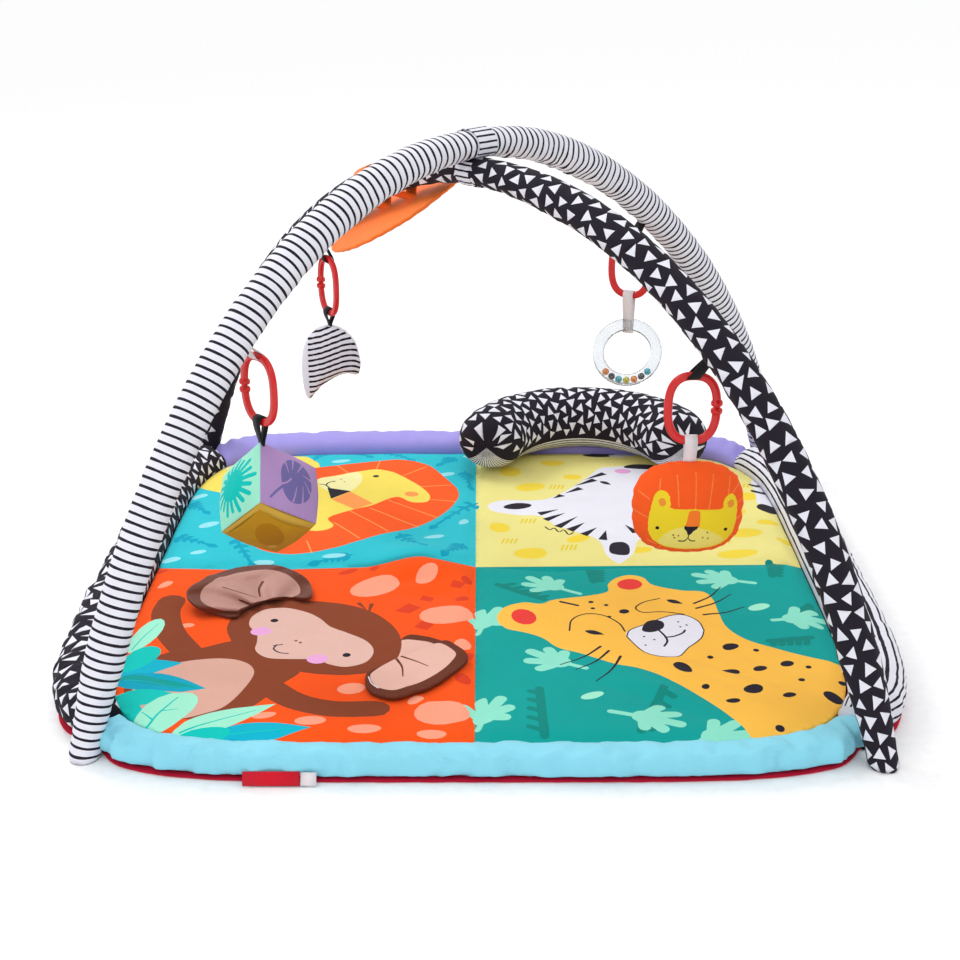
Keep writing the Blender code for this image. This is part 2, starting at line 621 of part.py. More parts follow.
def ear_flaps():
    brown = material("ear_satin", (0.30, 0.12, 0.06), 0.5)
    bottom = PANEL_TOP + 2.0 * GAP
    for name, (root, degrees, width, length) in EARS.items():
        hinge_pivot = pivot(f"{name}_pivot", (*root, bottom))
        steps = 14
        outline = [Vector((width * 0.32, 0.0, 0.0)), Vector((-width * 0.32, 0.0, 0.0))]
        for i in range(1, steps):
            angle = math.radians(180.0 - 225.0 * i / steps + 22.5)
            outline.append(superellipse(width / 2.0, length * 0.62, EAR_POWER, angle))
            outline[-1].y += length * 0.38
        bm = loft([[p + Vector((0.0, 0.0, z)) for p in outline] for z in (0.0, EAR_THICK)])
        bmesh.ops.rotate(bm, verts=bm.verts, cent=(0, 0, 0), matrix=Matrix.Rotation(math.radians(degrees), 3, "Z"))
        bmesh.ops.translate(bm, verts=bm.verts, vec=(*root, bottom))
        add(name, bm, brown, hinge_pivot)


def arches_and_toys():
    striped_route = arch_route(STRIPED_FEET, STRIPED_TOP, STRIPED_HALVES)
    triangle_route = arch_route(TRIANGLE_FEET, TRIANGLE_TOP, TRIANGLE_HALVES)
    striped_pivot = pivot("striped_arch_pivot", (*CROSSING, 0.0))
    triangle_pivot = pivot("triangle_arch_pivot", (*CROSSING, TRIANGLE_TOP), striped_pivot)
    arch("striped_arch", striped_route, stripe_fabric(), striped_pivot)
    arch("triangle_arch", triangle_route, triangle_fabric(), triangle_pivot)
    crossing_band("crossing_strap_top", striped_route, -42.0, 222.0, stripe_fabric(), striped_pivot)
    crossing_band("crossing_strap_under", triangle_route, 138.0, 402.0, stripe_fabric(), triangle_pivot)
    black, white = black_ribbon(), white_ribbon()
    lion_toy(hanging_set("lion", LION_HANG, LION_TURN, triangle_pivot, black, white, 0.012, LION_TOP))
    cube_toy(hanging_set("cube", CUBE_HANG, CUBE_TURN, striped_pivot, white, black, 0.012, CUBE_TOP))
    leaf_toy(hanging_set("leaf", LEAF_HANG, LEAF_TURN, triangle_pivot, black, black, 0.012, LEAF_TOP))
    ring_top = RING_CENTRE + RING_RADIUS + RING_TUBE
    ring_pivot = hanging_set("ring", RING_HANG, RING_TURN, striped_pivot, black, white, 0.012, ring_top)
    clear_plastic = material("clear_plastic", (0.85, 0.88, 0.90), 0.1)
    ring_shell("ring_shell_front", -1.0, clear_plastic, ring_pivot)
    ring_shell("ring_shell_back", 1.0, clear_plastic, ring_pivot)
    ring_beads(ring_pivot)
    mirror(triangle_route, triangle_pivot)


def main():
    clear_scene()
    mat_plates()
    borders()
    corner_tabs()
    edge_labels()
    ear_flaps()
    pillow()
    arches_and_toys()


main()
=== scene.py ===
"""The looks of the activity play gym: fabric, prints, toys and light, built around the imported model.

Metres, +Z up. The origin is on the floor under the middle of the mat, +X is to the right and +Y to the back.
Prints are drawn flat, in the cloth's own millimetres, and then laid on the form that the cloth takes.
"""

import bisect
import math
import random

import bmesh
import bpy
from mathutils import Matrix, Vector, noise
from mathutils.geometry import delaunay_2d_cdt


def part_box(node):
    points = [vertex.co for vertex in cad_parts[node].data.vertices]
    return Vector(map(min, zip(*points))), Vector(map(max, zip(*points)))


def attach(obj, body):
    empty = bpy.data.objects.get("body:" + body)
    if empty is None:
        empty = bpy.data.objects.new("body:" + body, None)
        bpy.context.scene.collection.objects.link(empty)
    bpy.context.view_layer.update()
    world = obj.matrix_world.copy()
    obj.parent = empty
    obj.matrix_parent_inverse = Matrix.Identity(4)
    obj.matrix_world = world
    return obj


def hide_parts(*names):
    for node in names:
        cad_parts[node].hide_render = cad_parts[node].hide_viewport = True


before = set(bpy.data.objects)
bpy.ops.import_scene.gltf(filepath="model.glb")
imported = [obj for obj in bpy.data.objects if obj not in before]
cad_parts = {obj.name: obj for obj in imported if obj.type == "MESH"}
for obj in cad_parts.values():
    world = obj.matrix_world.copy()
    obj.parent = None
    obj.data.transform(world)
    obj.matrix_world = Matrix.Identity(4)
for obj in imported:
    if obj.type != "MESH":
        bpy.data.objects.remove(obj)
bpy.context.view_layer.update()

# The mat, as in part.py.
BACKING_HALF, BACKING_POWER, BACKING_THICK = 0.432, 5.2, 0.0025
BORDER_HALF, BORDER_POWER, BORDER_FLOOR = 0.4305, 5.2, 0.0029
PANEL_HALF_X, PANEL_HALF_Y, PANEL_POWER, PANEL_SHIFT = 0.370, 0.384, 6.0, -0.0130
NOTCH_DEPTH, NOTCH_SPREAD = 0.016, math.radians(3.4)
SEAM_ANGLE = math.radians(44.5)
PANEL_BASE, PANEL_PUFF = 0.0205, 0.0060
QUILT_CROSS = (-0.005, -0.005)

# The arches, as in part.py.
CROSSING = (-0.005, -0.003)
STRIPED_TOP, TRIANGLE_TOP = 0.506, 0.478
STRIPED_FEET = ((-0.370, -0.386), (0.391, 0.388))
TRIANGLE_FEET = ((0.374, -0.401), (-0.379, 0.389))
STRIPED_HALVES = (
    (math.radians(14.8), 0.250, 0.286, math.radians(-2.5)),
    (math.radians(10.8), 0.248, 0.236, math.radians(1.0)),
)
TRIANGLE_HALVES = (
    (math.radians(15.2), 0.257, 0.310, math.radians(3.2)),
    (math.radians(12.0), 0.229, 0.241, math.radians(0.5)),
)
CAD_SPANS, FINE_SPANS = 12, 96
SLEEVE_RADIUS, FOOT_RADIUS, FOOT_TAPER = 0.0188, 0.0142, 0.11
CROSSING_SQUASH, CROSSING_SQUASH_LENGTH = 0.22, 0.085

# The hanging toys, as in part.py.
LINK_WIDTH, LINK_HEIGHT, LINK_WIRE, LINK_POWER = 0.055, 0.0735, 0.0042, 2.6
NUB_ANGLES = (math.radians(-5.5), math.radians(12.5))
RIBBON_HALF = 0.0062
HANGS = {
    "lion": ((0.2035, -0.2300, 0.3285), 0.0),
    "cube": ((-0.2125, -0.2180, 0.3440), math.radians(-46.0)),
    "ring": ((0.1790, 0.1840, 0.3640), math.radians(-25.0)),
    "leaf": ((-0.1810, 0.1800, 0.3440), math.radians(-62.0)),
}
CUBE_SIDE, CUBE_FACING, CUBE_ROLL = 0.0735, math.radians(-98.0), math.radians(5.0)
CUBE_SETTLE = math.radians(9.0)
RING_RADIUS, RING_TUBE, RING_WALL = 0.0352, 0.0073, 0.0015
MIRROR_STATION, MIRROR_LOOP_SPREAD = 14.46, 0.37
MIRROR_RADIUS, FILM_RADIUS, MIRROR_THICK = 0.0924, 0.083, 0.0045
MIRROR_ROLL, MIRROR_DROP = math.radians(22.7), 0.0342

# The pillow and the ears, as in part.py.
PILLOW_CENTRE, PILLOW_ARC_RADIUS = (0.136, 0.258), 0.128
PILLOW_HALF_ANGLE, PILLOW_END = math.radians(69.0), math.radians(19.0)
PILLOW_WIDTH, PILLOW_HEIGHT, PILLOW_BOTTOM = 0.088, 0.077, 0.0350
PILLOW_SEAM = math.radians(25.0)
EARS = {
    "ear_flap_left": ((-0.2255, -0.1405), 33.0, 0.090),
    "ear_flap_right": ((-0.0940, -0.2470), -138.0, 0.086),
}

# Prints on the fabrics.
STRIPE_PERIOD, STRIPE_WIDTH = 0.0085, 0.0027
TRIANGLE_SPACING, TRIANGLE_SIZE = 0.0166, 0.0073


def srgb(red, green, blue):
    """A display colour, 0 to 255, as the linear values that shaders take."""
    shares = (red / 255.0, green / 255.0, blue / 255.0)
    return tuple(s / 12.92 if s < 0.04045 else ((s + 0.055) / 1.055) ** 2.4 for s in shares)


WHITE = srgb(232, 232, 242)
INK = srgb(38, 33, 45)
NIGHT = srgb(36, 31, 41)
RED_PLASTIC = srgb(212, 8, 8)
BACKING_RED = srgb(190, 12, 48)
BLUE = srgb(140, 218, 238)
LILAC = srgb(162, 152, 228)
ORANGE = srgb(250, 84, 14)
SALMON = srgb(255, 160, 130)
EMBER = srgb(222, 62, 26)
BROWN = srgb(136, 64, 36)
SKIN = srgb(226, 184, 172)
BELLY = srgb(218, 168, 152)
EAR_BROWN = srgb(104, 50, 32)
EAR_SATIN = srgb(190, 142, 130)
EAR_PALE = srgb(228, 182, 168)
PINK = srgb(234, 168, 218)
MINT = srgb(160, 234, 206)
PALE_MINT = srgb(140, 224, 200)
TEAL = srgb(0, 196, 186)
GREEN = srgb(0, 158, 152)
DEEP_GREEN = srgb(0, 134, 124)
CYAN = srgb(0, 178, 204)
LEOPARD = srgb(252, 192, 76)
CORAL = srgb(234, 62, 56)
SEA = srgb(44, 194, 208)
FERN = srgb(0, 164, 192)
FOAM = srgb(150, 226, 236)
MANE = srgb(255, 94, 34)
RAY = srgb(255, 158, 84)
STRAW = srgb(245, 222, 96)
PALE_STRAW = srgb(245, 238, 170)
SAND = srgb(236, 226, 140)
BUTTER = srgb(241, 214, 66)
LEMON = srgb(230, 205, 45)
GOLD = srgb(246, 214, 44)
MUZZLE = srgb(246, 226, 118)
EAR_ORANGE = srgb(244, 150, 56)
NOSE_ORANGE = srgb(252, 128, 44)
TOY_RAY = srgb(255, 134, 72)
LILAC_COTTON = srgb(174, 140, 192)
LEAF_BLUE = srgb(112, 104, 160)
MUSTARD = srgb(188, 138, 28)
PALE_MUSTARD = srgb(206, 166, 66)
DARK_MUSTARD = srgb(172, 118, 16)


# ---- drawing flat shapes ----


def mm(points):
    return [Vector((x / 1000.0, y / 1000.0)) for x, y in points]


def spline_point(a, b, c, d, t):
    """Where a curve through four points is, between the second and the third."""
    square, cube = a * 2.0 - b * 5.0 + c * 4.0 - d, b * 3.0 - a - c * 3.0 + d
    return (b * 2.0 + (c - a) * t + square * t**2 + cube * t**3) / 2.0


def smooth_loop(points, steps=5):
    """A closed curve through the points."""
    count = len(points)
    found = []
    for i in range(count):
        four = [points[(i + k) % count] for k in (-1, 0, 1, 2)]
        found += [spline_point(*four, s / steps) for s in range(steps)]
    return found


def smooth_line(points, steps=5):
    """An open curve through the points."""
    ends = [points[0] * 2.0 - points[1], *points, points[-1] * 2.0 - points[-2]]
    found = []
    for i in range(len(points) - 1):
        found += [spline_point(*ends[i : i + 4], s / steps) for s in range(steps)]
    return found + [points[-1]]


def blob(colour, *points):
    return smooth_loop(mm(points)), colour


def facet(colour, *points):
    return mm(points), colour


def spot(colour, x, y, half_x, half_y=None, turn=0.0, sides=16):
    """An ellipse, in millimetres, turned by degrees."""
    half_y = half_x if half_y is None else half_y
    c, s = math.cos(math.radians(turn)), math.sin(math.radians(turn))
    ring = []
    for i in range(sides):
        a, b = half_x * math.cos(math.tau * i / sides), half_y * math.sin(math.tau * i / sides)
        ring.append((x + a * c - b * s, y + a * s + b * c))
    return mm(ring), colour


def round_end(middle, side):
    """The half circle round the end of a brush line, from this side of it to the other."""
    return [middle + Matrix.Rotation(math.radians(turn), 2) @ side for turn in (36, 72, 108, 144)]


def brush(colour, half_width, *points, taper=1.0):
    """A line through the points, round at both ends, that narrows to taper times its width."""
    line = smooth_line(mm(points), 4)
    half_width /= 1000.0
    left, right = [], []
    for i, point in enumerate(line):
        along = (line[min(i + 1, len(line) - 1)] - line[max(i - 1, 0)]).normalized()
        half = half_width * (1.0 - (1.0 - taper) * i / (len(line) - 1))
        side = Vector((-along.y, along.x)) * half
        left.append(point + side)
        right.append(point - side)
    start = round_end(line[0], left[0] - line[0])
    end = round_end(line[-1], right[-1] - line[-1])
    return [*start, *right, *end, *reversed(left)], colour


def leaf(colour, base, tip, half_width, steps=9):
    """A pointed oval from its base to its tip."""
    base, tip = Vector(base), Vector(tip)
    side = Vector((base.y - tip.y, tip.x - base.x)).normalized() * half_width
    shares = [i / steps for i in range(1, steps)]
    upper = [base.lerp(tip, t) + side * math.sin(math.pi * t**0.8) for t in shares]
    lower = [base.lerp(tip, t) - side * math.sin(math.pi * t**0.8) for t in shares]
    return mm([tuple(p) for p in [base, *upper, tip, *reversed(lower)]]), colour


def palm(colour, base, tip, finger):
    """A stem that opens into rounded fingers."""
    base, tip = Vector(base), Vector(tip)
    along = (tip - base).normalized()
    heart = base.lerp(tip, 0.42)
    shapes = [brush(colour, finger * 0.10, tuple(base), tuple(base.lerp(tip, 0.3)), tuple(heart))]
    for turn, size in ((-74.0, 0.62), (-38.0, 0.90), (-8.0, 1.15), (24.0, 1.0), (62.0, 0.78)):
        way = Matrix.Rotation(math.radians(turn), 2) @ along
        end = heart + way * finger * size
        shapes.append(brush(colour, finger * 0.19, tuple(heart + way * finger * 0.2), tuple(end)))
    shapes.append(spot(colour, heart.x, heart.y, finger * 0.34))
    return shapes


def comb(colour, base, tip, tooth, teeth=5):
    """A stem with blunt teeth down one side."""
    base, tip = Vector(base), Vector(tip)
    along = (tip - base).normalized()
    side = Matrix.Rotation(math.radians(62.0), 2) @ along
    shapes = [brush(colour, tooth * 0.30, tuple(base), tuple(tip))]
    for i in range(teeth):
        root = base.lerp(tip, (i + 0.4) / teeth)
        shapes.append(brush(colour, tooth * 0.24, tuple(root), tuple(root + side * tooth * (1.0 - 0.08 * i))))
    return shapes


def sprig(colour, base, tip, lobe, pairs=3):
    """A stem with rounded leaves on both sides and one at its tip."""
    base, tip = Vector(base), Vector(tip)
    along = (tip - base).normalized()
    shapes = [brush(colour, lobe * 0.14, tuple(base), tuple(tip))]
    shapes.append(leaf(colour, tip - along * lobe * 0.4, tip + along * lobe * 0.7, lobe * 0.34))
    for i in range(pairs):
        root = base.lerp(tip, (i + 0.35) / pairs)
        size = lobe * (1.0 - 0.18 * i)
        for turn in (-50.0, 50.0):
            way = Matrix.Rotation(math.radians(turn), 2) @ along
            shapes.append(leaf(colour, root, root + way * size, size * 0.32))
    return shapes


# ---- cloth: cut flat, printed, then laid on a form ----


def anticlockwise(loop):
    area = sum(a.x * b.y - b.x * a.y for a, b in zip(loop, loop[1:] + loop[:1]))
    return loop if area > 0.0 else loop[::-1]


def cut(outline, shapes, ground, step, place):
    """Cuts a cloth along its outline, prints the shapes on it and lays it by place(u, v)."""
    points = anticlockwise(list(outline))
    faces = [list(range(len(points)))]
    for shape, _ in shapes:
        faces.append(list(range(len(points), len(points) + len(shape))))
        points += anticlockwise(shape)
    low_u, high_u = min(p.x for p in outline), max(p.x for p in outline)
    low_v, high_v = min(p.y for p in outline), max(p.y for p in outline)
    columns = max(int((high_u - low_u) / step), 1)
    rows = max(int((high_v - low_v) / step), 1)
    for row in range(rows):
        v = low_v + (high_v - low_v) * (row + 0.5) / rows
        shift = 0.25 if row % 2 else 0.75
        points += [Vector((low_u + (high_u - low_u) * (c + shift) / columns, v)) for c in range(columns)]
    flat, _, triangles, _, _, origins = delaunay_2d_cdt(points, [], faces, 1, 1e-7, True)
    kept = [(t, max(o)) for t, o in zip(triangles, origins) if 0 in o]
    used = sorted({i for t, _ in kept for i in t})
    index = {old: new for new, old in enumerate(used)}
    colours = [ground] + [colour for _, colour in shapes]
    return {
        "flat": [flat[i] for i in used],
        "places": [place(*flat[i]) for i in used],
        "faces": [[index[i] for i in t] for t, _ in kept],
        "colours": [colours[top] for _, top in kept],
    }


def sew(name, cloths, material, fill=None, weld=2e-5):
    """Joins cut cloths into one mesh where their edges meet. fill closes what is open, in that colour."""
    places, flat, faces, colours = [], [], [], []
    for cloth in cloths:
        start = len(places)
        places += cloth["places"]
        flat += cloth["flat"]
        faces += [[i + start for i in face] for face in cloth["faces"]]
        colours += cloth["colours"]
    mesh = bpy.data.meshes.new(name)
    mesh.from_pydata(places, [], faces)
    printed = mesh.attributes.new("print", "FLOAT_COLOR", "CORNER")
    printed.data.foreach_set("color", [x for face, c in zip(faces, colours) for _ in face for x in (*c, 1.0)])
    weave = mesh.attributes.new("cloth", "FLOAT_VECTOR", "POINT")
    weave.data.foreach_set("vector", [x for p in flat for x in (p.x, p.y, 0.0)])
    bm = bmesh.new()
    bm.from_mesh(mesh)
    bmesh.ops.remove_doubles(bm, verts=bm.verts, dist=weld)
    if fill is not None:
        layer = bm.loops.layers.float_color["print"]
        made = bmesh.ops.holes_fill(bm, edges=[e for e in bm.edges if e.is_boundary], sides=0)["faces"]
        for loop in (loop for face in made for loop in face.loops):
            loop[layer] = (*fill, 1.0)
    bmesh.ops.recalc_face_normals(bm, faces=bm.faces)
    bm.to_mesh(mesh)
    bm.free()
    return piece(name, mesh, material)


def piece(name, mesh, material):
    mesh.shade_smooth()
    mesh.materials.append(material)
    obj = bpy.data.objects.new(name, mesh)
    bpy.context.scene.collection.objects.link(obj)
    return obj


def place_piece(obj, body, nodes, slot):
    """The piece rides on a body and stands for CAD nodes. The slot argument is not used."""
    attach(obj, body)
    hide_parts(*nodes)
    return obj


def rectangle(low_u, high_u, low_v, high_v, step):
    """An outline with evenly spaced points, so that opposite edges match where they are sewn."""
    columns = max(round((high_u - low_u) / step), 1)
    rows = max(round((high_v - low_v) / step), 1)
    across = [low_u + (high_u - low_u) * i / columns for i in range(columns)]
    up = [low_v + (high_v - low_v) * i / rows for i in range(rows)]
    front = [Vector((u, low_v)) for u in across]
    right = [Vector((high_u, v)) for v in up]
    back = [Vector((high_u + low_u - u, high_v)) for u in across]
    left = [Vector((low_u, high_v + low_v - v)) for v in up]
    return front + right + back + left


def inflate(obj, pressure, cap, frames=16):
    """Fills a closed fabric form with air. No point moves further than cap."""
    rest = [v.co.copy() for v in obj.data.vertices]
    cloth = obj.modifiers.new("stuffing", "CLOTH")
    cloth.settings.use_pressure = True
    cloth.settings.uniform_pressure_force = pressure
    cloth.settings.effector_weights.gravity = 0.0
    cloth.point_cache.frame_start = 1
    cloth.point_cache.frame_end = frames
    for number in range(1, frames + 1):
        bpy.context.scene.frame_set(number)
    posed = obj.evaluated_get(bpy.context.evaluated_depsgraph_get())
    moved = [v.co.copy() for v in posed.data.vertices]
    obj.modifiers.remove(cloth)
    bpy.context.scene.frame_set(1)
    for vertex, start, end in zip(obj.data.vertices, rest, moved):
        step = end - start
        vertex.co = start + step * min(1.0, cap / max(step.length, 1e-9))


def subdivide(obj, levels=1):
    modifier = obj.modifiers.new("smooth", "SUBSURF")
    modifier.levels = levels
    modifier.render_levels = levels


def triangle_print(low_u, high_u, low_v, high_v, seed, size=TRIANGLE_SIZE, spacing=TRIANGLE_SPACING):
    """White triangles of every direction, scattered on a loose grid."""
    draw = random.Random(seed)
    rows = max(round((high_v - low_v) / spacing), 1)
    columns = max(round((high_u - low_u) / spacing), 1)
    shapes = []
    for row in range(rows):
        for column in range(columns):
            shift = 0.25 if row % 2 else -0.25
            u = low_u + (high_u - low_u) * (column + 0.5 + shift + draw.uniform(-0.1, 0.1)) / columns
            v = low_v + (high_v - low_v) * (row + 0.5 + draw.uniform(-0.14, 0.14)) / rows
            turn = draw.uniform(0.0, math.tau)
            reach = size * draw.uniform(0.88, 1.14)
            corners = []
            for k in range(3):
                angle = turn + math.tau * k / 3.0 + draw.uniform(-0.2, 0.2)
                corners.append(Vector((u + reach * math.cos(angle), v + reach * math.sin(angle))))
            inside = all(low_u + 0.0008 < p.x < high_u - 0.0008 for p in corners)
            if inside and all(low_v + 0.0008 < p.y < high_v - 0.0008 for p in corners):
                shapes.append((corners, WHITE))
    return shapes


def stripe_print(low_u, high_u, low_v, high_v, across_v, waver, period=STRIPE_PERIOD, width=STRIPE_WIDTH):
    """Dark lines along u, or along v with across_v. waver(u, v) shifts a line where the cloth is gathered."""
    low, high = (low_v, high_v) if not across_v else (low_u, high_u)
    run_low, run_high = (low_u, high_u) if not across_v else (low_v, high_v)
    steps = max(round((run_high - run_low) / 0.004), 6)
    shapes = []
    for i in range(int((high - low) / period)):
        middle = low + (i + 0.5) * period
        lower, upper = [], []
        for s in range(steps + 1):
            run = run_low + (run_high - run_low) * s / steps
            centre = middle + waver(run, middle)
            half = width / 2.0 * (1.0 + 0.25 * noise.noise(Vector((run * 90.0, middle * 90.0, 3.0))))
            lower.append((run, centre - half))
            upper.append((run, centre + half))
        loop = lower + upper[::-1]
        shapes.append(([Vector((b, a)) if across_v else Vector((a, b)) for a, b in loop], INK))
    return shapes


# ---- the four prints of the play mat ----


def pebbles(colour, places):
    return [spot(colour, x, y, a, b, turn) for x, y, a, b, turn in places]


def monkey_print():
    head = blob(
        BROWN, (-249, -104), (-205, -100), (-160, -106), (-128, -120), (-106, -141), (-88, -172),
        (-81, -206), (-86, -242), (-104, -263), (-134, -272), (-175, -267), (-215, -250), (-246, -226),
        (-258, -199), (-267, -167), (-262, -132),
    )
    face = blob(
        SKIN, (-244, -142), (-233, -125), (-212, -120), (-188, -129), (-170, -147), (-158, -166),
        (-138, -182), (-118, -198), (-109, -220), (-115, -243), (-134, -254), (-152, -249), (-166, -239),
        (-192, -238), (-216, -236), (-230, -220), (-231, -200), (-234, -181), (-244, -163),
    )
    body = blob(
        BROWN, (-250, -200), (-285, -214), (-315, -221), (-338, -242), (-349, -275), (-345, -312),
        (-320, -343), (-285, -358), (-250, -356), (-222, -339), (-207, -316), (-194, -290), (-180, -262),
        (-210, -235),
    )
    belly = blob(
        BELLY, (-335, -273), (-312, -249), (-281, -239), (-253, -239), (-233, -250), (-225, -270),
        (-231, -300), (-244, -333), (-262, -348), (-285, -358), (-315, -350), (-338, -320),
    )
    shapes = [
        body,
        belly,
        brush(BROWN, 15.5, (-300, -222), (-325, -178), (-338, -133), (-337, -103)),
        brush(BROWN, 14.5, (-206, -296), (-178, -325), (-142, -340), (-100, -340)),
        blob(EAR_BROWN, (-96, -262), (-80, -190), (-58, -188), (-36, -204), (-50, -222), (-80, -248)),
        blob(EAR_PALE, (-96, -258), (-84, -200), (-60, -199), (-44, -210), (-56, -226), (-80, -248)),
        head,
        face,
        brush(BROWN, 2.6, (-118, -111), (-120, -131), taper=0.3),
        brush(BROWN, 2.6, (-132, -108), (-124, -122), taper=0.3),
        spot(PINK, -230, -177, 11, 10),
        spot(PINK, -165, -238, 11, 10),
        spot(INK, -219, -151, 4.2),
        spot(INK, -136, -229, 4.2),
        spot(BROWN, -191, -198, 1.7),
        spot(BROWN, -186, -202, 1.7),
        brush(INK, 0.9, (-210, -207), (-212, -216), (-205, -224), (-196, -226)),
        brush(INK, 0.8, (-204, -206), (-213, -209)),
    ]
    return shapes


def monkey_corner():
    """The orange quarter: pebbles, drops, the monkey and the leaves in the corner."""
    shapes = pebbles(SALMON, (
        (-117, -67, 31, 21, 40), (-36, -136, 30, 23, 20), (-36, -347, 27, 22, 10), (-315, -75, 9, 6, 30),
        (-310, -163, 8, 5, 10), (-126, -300, 14, 11, 20), (-160, -362, 15, 8, 5), (-108, -376, 16, 7, 0),
        (-205, -352, 12, 6, 15), (-60, -40, 18, 10, 60), (-18, -205, 12, 9, 80), (-283, -40, 16, 9, 20),
        (-352, -60, 10, 6, 50), (-45, -384, 14, 6, 0), (-62, -325, 9, 6, 40), (-340, -130, 9, 7, 60),
    ))
    shapes += pebbles(EMBER, (
        (-15, -46, 6, 9, 20), (-17, -278, 8, 11, 10), (-364, -19, 8, 5, 0), (-150, -26, 12, 6, 30),
        (-250, -377, 10, 5, 0), (-120, -22, 8, 5, 70), (-270, -78, 9, 6, 10), (-20, -92, 8, 6, 30),
    ))
    shapes += [
        facet(EMBER, (-92, -128), (-76, -134), (-64, -118), (-78, -106)),
        facet(EMBER, (-66, -92), (-54, -96), (-50, -82), (-64, -78)),
        facet(EMBER, (-70, -166), (-56, -174), (-48, -160), (-62, -152)),
        facet(EMBER, (-20, -236), (-8, -232), (-6, -218), (-22, -222)),
        facet(EMBER, (-34, -60), (-22, -66), (-16, -54), (-30, -48)),
    ]
    shapes += monkey_print()
    shapes += [
        spot(MINT, -350, -184, 14, 38, -14),
        brush(TEAL, 0.9, (-358, -214), (-350, -186), (-341, -158), taper=0.3),
        leaf(CYAN, (-372, -262), (-300, -246), 17),
        spot(TEAL, -347, -236, 17, 29, -30),
        leaf(FERN, (-366, -276), (-268, -300), 19),
        leaf(GREEN, (-364, -272), (-276, -298), 8),
        brush(CYAN, 1.0, (-352, -280), (-318, -290), (-284, -297), taper=0.3),
        leaf(TEAL, (-366, -314), (-272, -322), 15),
        spot(TEAL, -344, -350, 24, 38, 20),
        spot(MINT, -300, -344, 23, 42, -28),
        brush(TEAL, 1.6, (-318, -380), (-306, -350), (-292, -318), taper=0.4),
        brush(TEAL, 0.9, (-309, -358), (-322, -344), taper=0.4),
        brush(TEAL, 0.9, (-304, -344), (-288, -340), taper=0.4),
        leaf(MINT, (-292, -388), (-196, -330), 17),
        brush(TEAL, 1.2, (-280, -378), (-250, -362), (-214, -342), taper=0.4),
        leaf(CYAN, (-252, -386), (-158, -374), 15),
        spot(TEAL, -258, -384, 26, 11, 10),
        brush(TEAL, 1.0, (-232, -383), (-205, -380), (-174, -376), taper=0.3),
    ]
    return shapes


def leopard_print():
    shapes = [
        blob(
            LEOPARD, (18, -144), (27, -118), (47, -107), (67, -111), (81, -101), (111, -92), (140, -82),
            (143, -62), (153, -45), (168, -38), (184, -47), (193, -68), (222, -82), (246, -86), (254, -106),
            (256, -140), (260, -170), (276, -196), (305, -217), (338, -236), (372, -252), (374, -300),
            (352, -340), (310, -372), (262, -394), (243, -366), (220, -325), (192, -288), (162, -260),
            (134, -248), (104, -227), (80, -213), (66, -192), (48, -179), (27, -168),
        ),
        spot(CORAL, 47, -141, 13, 19, 15),
        spot(CORAL, 167, -64, 14, 15),
        blob(
            WHITE, (153, -190), (158, -176), (177, -163), (197, -149), (216, -144), (231, -158), (235, -178),
            (230, -195), (217, -211), (205, -228), (189, -235), (168, -223),
        ),
        brush(INK, 0.7, (153, -190), (158, -176), (177, -163), (197, -149), (216, -144), (231, -158),
              (235, -178)),
        brush(INK, 0.7, (153, -190), (168, -223), (189, -235), (205, -228), (217, -211), (230, -195),
              (235, -178)),
        blob(INK, (170, -176), (176, -160), (186, -155), (194, -160), (193, -172), (184, -180), (175, -181)),
        brush(INK, 1.2, (187, -176), (193, -190), (194, -201), (190, -210)),
        brush(INK, 1.2, (193, -192), (203, -190), (212, -184), (215, -178)),
        leaf(INK, (110, -176), (130, -186), 4.5),
        leaf(INK, (203, -108), (220, -118), 4.5),
        brush(INK, 0.9, (94, -175), (98, -150), (114, -136), (133, -141), (147, -160), (152, -179)),
        brush(INK, 0.9, (196, -104), (178, -112), (168, -125), (175, -137), (194, -137), (218, -143)),
        brush(INK, 1.9, (88, -106), (106, -115)),
    ]
    dots = (
        (171, -190, 1.3), (181, -197, 1.3), (171, -207, 1.3), (210, -160, 1.3), (218, -167, 1.3),
        (211, -171, 1.3), (121, -107, 3), (137, -115, 2.5), (122, -123, 2.5), (138, -144, 2.5),
        (155, -133, 5.5), (283, -220, 3.2), (234, -235, 3.2), (318, -282, 3.4), (221, -297, 4),
        (359, -282, 4.5), (281, -372, 4.5), (330, -255, 3),
    )
    shapes += [spot(INK, x, y, r) for x, y, r in dots]
    patches = (
        (258, -212, 9, 6, 20), (310, -247, 7, 5, 10), (281, -258, 8, 5, 30), (251, -263, 9, 6, 0),
        (203, -259, 8, 13, 25), (267, -302, 10, 8, 20), (244, -324, 7, 4, 0), (300, -315, 7, 4, 15),
        (343, -314, 8, 11, 40), (352, -336, 12, 6, 35),
    )
    shapes += [spot(INK, *patch) for patch in patches]
    whiskers = (
        (232, -117, 267, -72), (233, -129, 276, -90), (239, -144, 286, -122),
        (124, -212, 81, -250), (132, -221, 96, -261), (143, -233, 115, -283),
    )
    for x, y, far_x, far_y in whiskers:
        bend = ((x + far_x) / 2 + 3, (y + far_y) / 2 - 3)
        shapes.append(brush(INK, 1.5, (x, y), bend, (far_x, far_y), taper=0.45))
    return shapes


